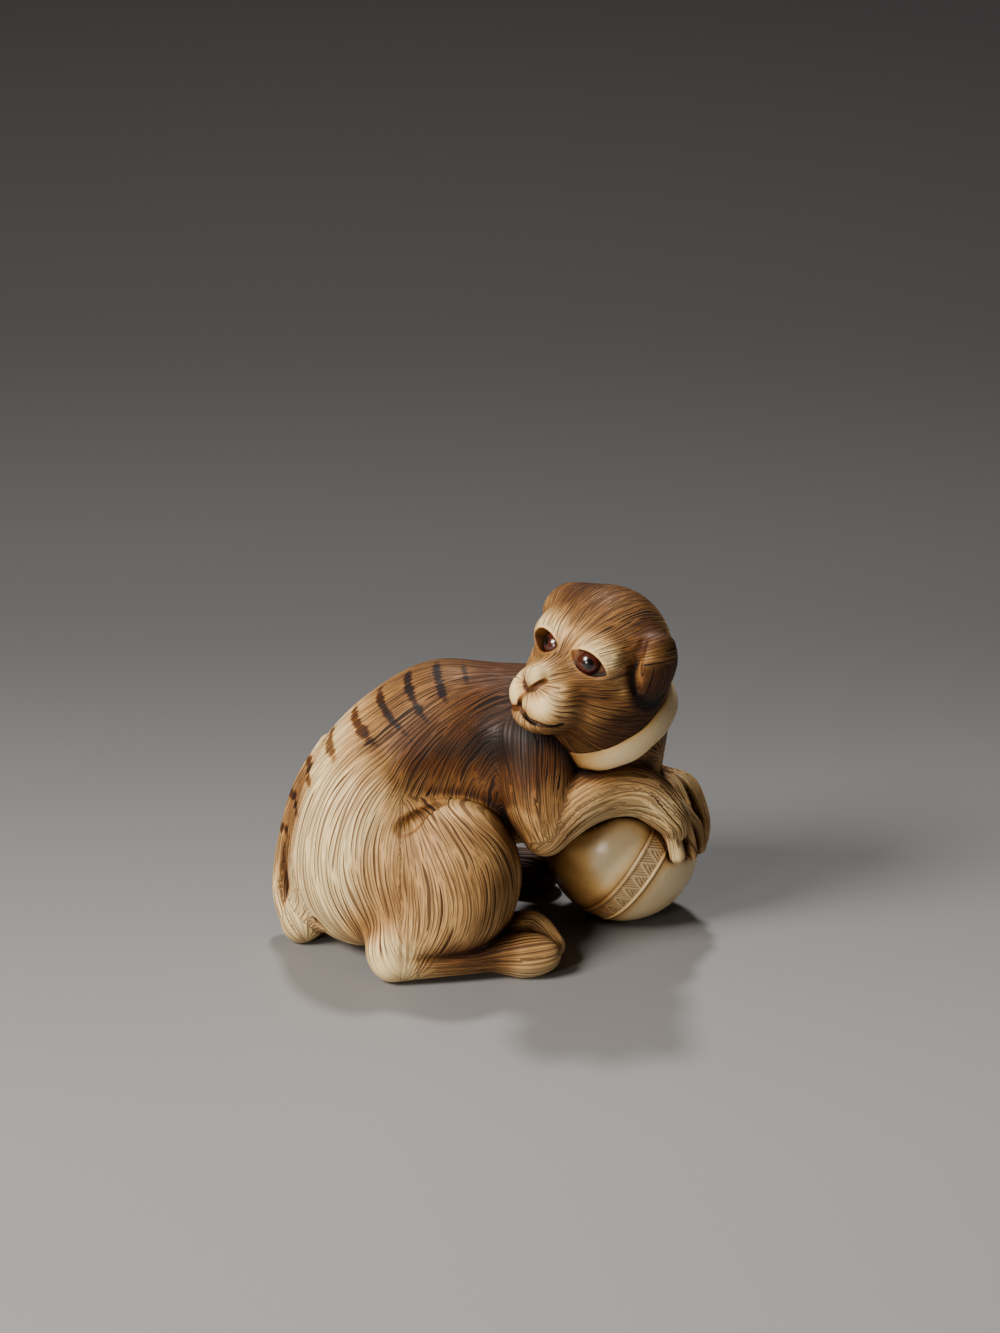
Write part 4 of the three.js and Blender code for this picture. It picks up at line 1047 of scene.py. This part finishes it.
def engraved_ivory():
    """stained ivory with hair cut in it, darker in the hollows, where patina in the creases adds to painted
    shade between parts
    """
    g = Nodes("engraved_ivory")
    sa, sb = strokes(g, g.attr("hair_a", True)), strokes(g, g.attr("hair_b", True))
    w = g.attr("mix_b")
    line = g.blend(sa, sb, w)
    line = g.math("MULTIPLY", line, g.math("SUBTRACT", 1.0, g.attr("bare")))
    where = g.place()
    cloud = g.noise(where, 0.16, 3.0, 0.55)
    fleck = g.noise(where, 0.7, 3.0, 0.6)
    near_a, wide_a = g.attr("near"), g.attr("wide")
    ua, va = g.split(g.attr("hair_a", True))[:2]
    ub, vb = g.split(g.attr("hair_b", True))[:2]
    streak_a = g.noise(g.join(g.math("MULTIPLY", ua, 2.4), g.math("MULTIPLY", va, 0.3)), 1.0, 2.0, 0.7)
    streak_b = g.noise(g.join(g.math("MULTIPLY", ub, 2.4), g.math("MULTIPLY", vb, 0.3)), 1.0, 2.0, 0.7)
    streak = g.math("SUBTRACT", g.blend(streak_a, streak_b, w), 0.5)
    # patina in the fine creases (near) and painted shade where parts crowd together (wide)
    crease_stain_and_shade = g.math("ADD", g.math("MULTIPLY", wide_a, 0.42), g.math("MULTIPLY", near_a, 0.9))
    tone = g.math("ADD", g.attr("tone"), crease_stain_and_shade)
    tone = g.math("ADD", tone, g.math("MULTIPLY", g.math("SUBTRACT", cloud, 0.5), 0.45))
    tone = g.math("ADD", tone, g.math("MULTIPLY", streak, 0.4))
    broken = g.math("MULTIPLY", g.math("SUBTRACT", fleck, 0.5), 0.8)
    broken = g.math("ADD", g.math("MULTIPLY", streak, 1.6), broken)
    bars = g.range(g.math("ADD", g.attr("bars"), broken), 0.3, 0.8)
    tone = g.math("ADD", tone, g.math("MULTIPLY", bars, 0.75))
    col = g.mix(g.range(tone, 0.0, 0.3), PALE, CREAM)
    col = g.mix(g.range(tone, 0.2, 0.65), col, HONEY)
    col = g.mix(g.range(tone, 0.55, 1.05), col, BROWN)
    col = g.mix(g.range(tone, 0.95, 1.6), col, UMBER)
    ink = g.mix(g.range(tone, 0.0, 0.8), srgb(92, 54, 26), srgb(22, 9, 3))
    col = g.mix(line, col, ink)
    rough = g.math("ADD", 0.52, g.math("MULTIPLY", line, 0.25))
    height = g.math("SUBTRACT", g.math("MULTIPLY", cloud, 0.1), line)
    ivory(g, col, rough, height, CUT_BUMP, 0.0, 0.25)
    return g.mat


def polished_ivory():
    """smooth ivory of the ball and the collar, darker with stain and with painted shade where it is shut in
    """
    g = Nodes("polished_ivory")
    where = g.place()
    cloud = g.noise(where, 0.14, 3.0, 0.5, 0.4)
    grain = g.noise(where, 1.6, 2.0, 0.6)
    near_a, wide_a = g.attr("near"), g.attr("wide")
    # stain plus painted shade: shut-in places darken, and the ball's painted shadow comes in with tone
    stain_and_shade = g.math("ADD", g.math("MULTIPLY", wide_a, 0.5), g.math("MULTIPLY", near_a, 0.8))
    stain_and_shade = g.math("ADD", stain_and_shade, g.math("MULTIPLY", g.math("SUBTRACT", cloud, 0.5), 0.8))
    stain_and_shade = g.math("ADD", stain_and_shade, g.attr("tone"))
    stain_and_shade = g.math("ADD", stain_and_shade, g.math("MULTIPLY", g.attr("band"), 0.4))
    col = g.mix(g.range(stain_and_shade, -0.1, 0.5), srgb(248, 222, 172), srgb(224, 180, 110))
    col = g.mix(g.range(stain_and_shade, 0.3, 0.95), col, HONEY)
    col = g.mix(g.range(stain_and_shade, 0.75, 1.5), col, BROWN)
    # painted shade: umber in the most shut-in places
    col = g.mix(g.range(g.math("ADD", near_a, wide_a), 0.9, 1.8), col, UMBER)
    col = g.mix(g.math("MULTIPLY", g.attr("inked"), 0.8), col, srgb(104, 62, 30))
    height = g.math("ADD", cloud, g.math("MULTIPLY", grain, 0.15))
    ivory(g, col, g.range(cloud, 0.2, 0.8, 0.24, 0.36), height, WEAR_BUMP)
    return g.mat


def dark_horn():
    """the inlaid eyes, with a darker middle"""
    g = Nodes("horn")
    p = g.attr("pupil")
    col = g.mix(g.range(p, 0.9, 0.94), srgb(70, 28, 18), srgb(14, 7, 8))
    g.link(col, g.bsdf.inputs["Base Color"])
    g.bsdf.inputs["Roughness"].default_value = 0.2
    g.bsdf.inputs["IOR"].default_value = 1.55
    g.bsdf.inputs["Coat Weight"].default_value = 0.6
    g.bsdf.inputs["Coat Roughness"].default_value = 0.04
    return g.mat


finishes = (
    ((puppy, face), engraved_ivory()),
    ((toy, band), polished_ivory()),
    (eyes, dark_horn()),
)
for pieces, material in finishes:
    for o in pieces:
        o.data.materials.append(material)

# ------------------------------------------------------------------ stage, lights, camera
floor_mesh = bpy.data.meshes.new("floor")
size = 3.0
corners = [(-size, -size, 0), (size, -size, 0), (size, size, 0), (-size, size, 0)]
floor_mesh.from_pydata(corners, [], [(0, 1, 2, 3)])
floor = bpy.data.objects.new("floor", floor_mesh)
bpy.context.scene.collection.objects.link(floor)
g = Nodes("floor")
xyz = g.split(g.place(1.0))
# painted falloff of light: the floor darkens away from the camera in place of the lamps' own falloff
painted_falloff = g.mix(g.range(xyz[1], -0.05, 0.09), srgb(140, 138, 137), srgb(78, 77, 77))
g.link(g.mix(g.range(xyz[1], 0.06, 0.20), painted_falloff, srgb(58, 57, 57)), g.bsdf.inputs["Base Color"])
g.bsdf.inputs["Roughness"].default_value = 0.6
floor_mesh.materials.append(g.mat)


def light(name, at, target, size, power, colour=(1, 1, 1)):
    data = bpy.data.lights.new(name, "AREA")
    data.shape = "DISK"
    data.size = size
    data.energy = power
    data.color = colour
    obj = bpy.data.objects.new(name, data)
    bpy.context.scene.collection.objects.link(obj)
    obj.location = at
    d = np.array(target) - np.array(at)
    obj.rotation_euler = Vector(d).to_track_quat("-Z", "Y").to_euler()
    return obj


middle = (0.0, 0.0, 0.016)
light("key", (-0.33, -0.24, 0.36), middle, 0.22, 4.6, (1.0, 0.96, 0.91))
light("back", (0.0, 0.26, 0.46), middle, 0.06, 1.7, (1.0, 0.99, 0.97))
light("fill", (-0.25, -0.38, 0.14), middle, 0.10, 0.55, (1.0, 0.93, 0.84))
world = bpy.data.worlds.new("studio")
bpy.context.scene.world = world
world.use_nodes = True
world.node_tree.nodes["Background"].inputs[0].default_value = (0.5, 0.5, 0.51, 1)
world.node_tree.nodes["Background"].inputs[1].default_value = 0.07

# a long lens, looking down at the table at 22 degrees
ELEVATION = math.radians(22.0)
DISTANCE = 450.0      # mm
LENS = 170.1          # mm, over a picture 36 mm wide
AIM = (0.667, 26.048)  # mm to the right of the design origin and above it, across the view
fwd = V(0, math.cos(ELEVATION), -math.sin(ELEVATION))
right = V(1, 0, 0)
up = np.cross(right, fwd)
look = right * AIM[0] + up * AIM[1]
cam_data = bpy.data.cameras.new("camera")
cam = bpy.data.objects.new("camera", cam_data)
bpy.context.scene.collection.objects.link(cam)
cam.location = (look - fwd * DISTANCE + SHIFT) * MM
cam.rotation_euler = (math.pi / 2 - ELEVATION, 0, 0)
cam_data.sensor_fit = "HORIZONTAL"
cam_data.sensor_width = 36.0
cam_data.lens = LENS
cam_data.clip_start = 0.01
cam_data.clip_end = 10
bpy.context.scene.camera = cam

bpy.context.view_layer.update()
for o in (puppy, face, toy, band, *eyes):
    print("TRIANGLES", o.name, sum(len(p.vertices) - 2 for p in o.data.polygons))
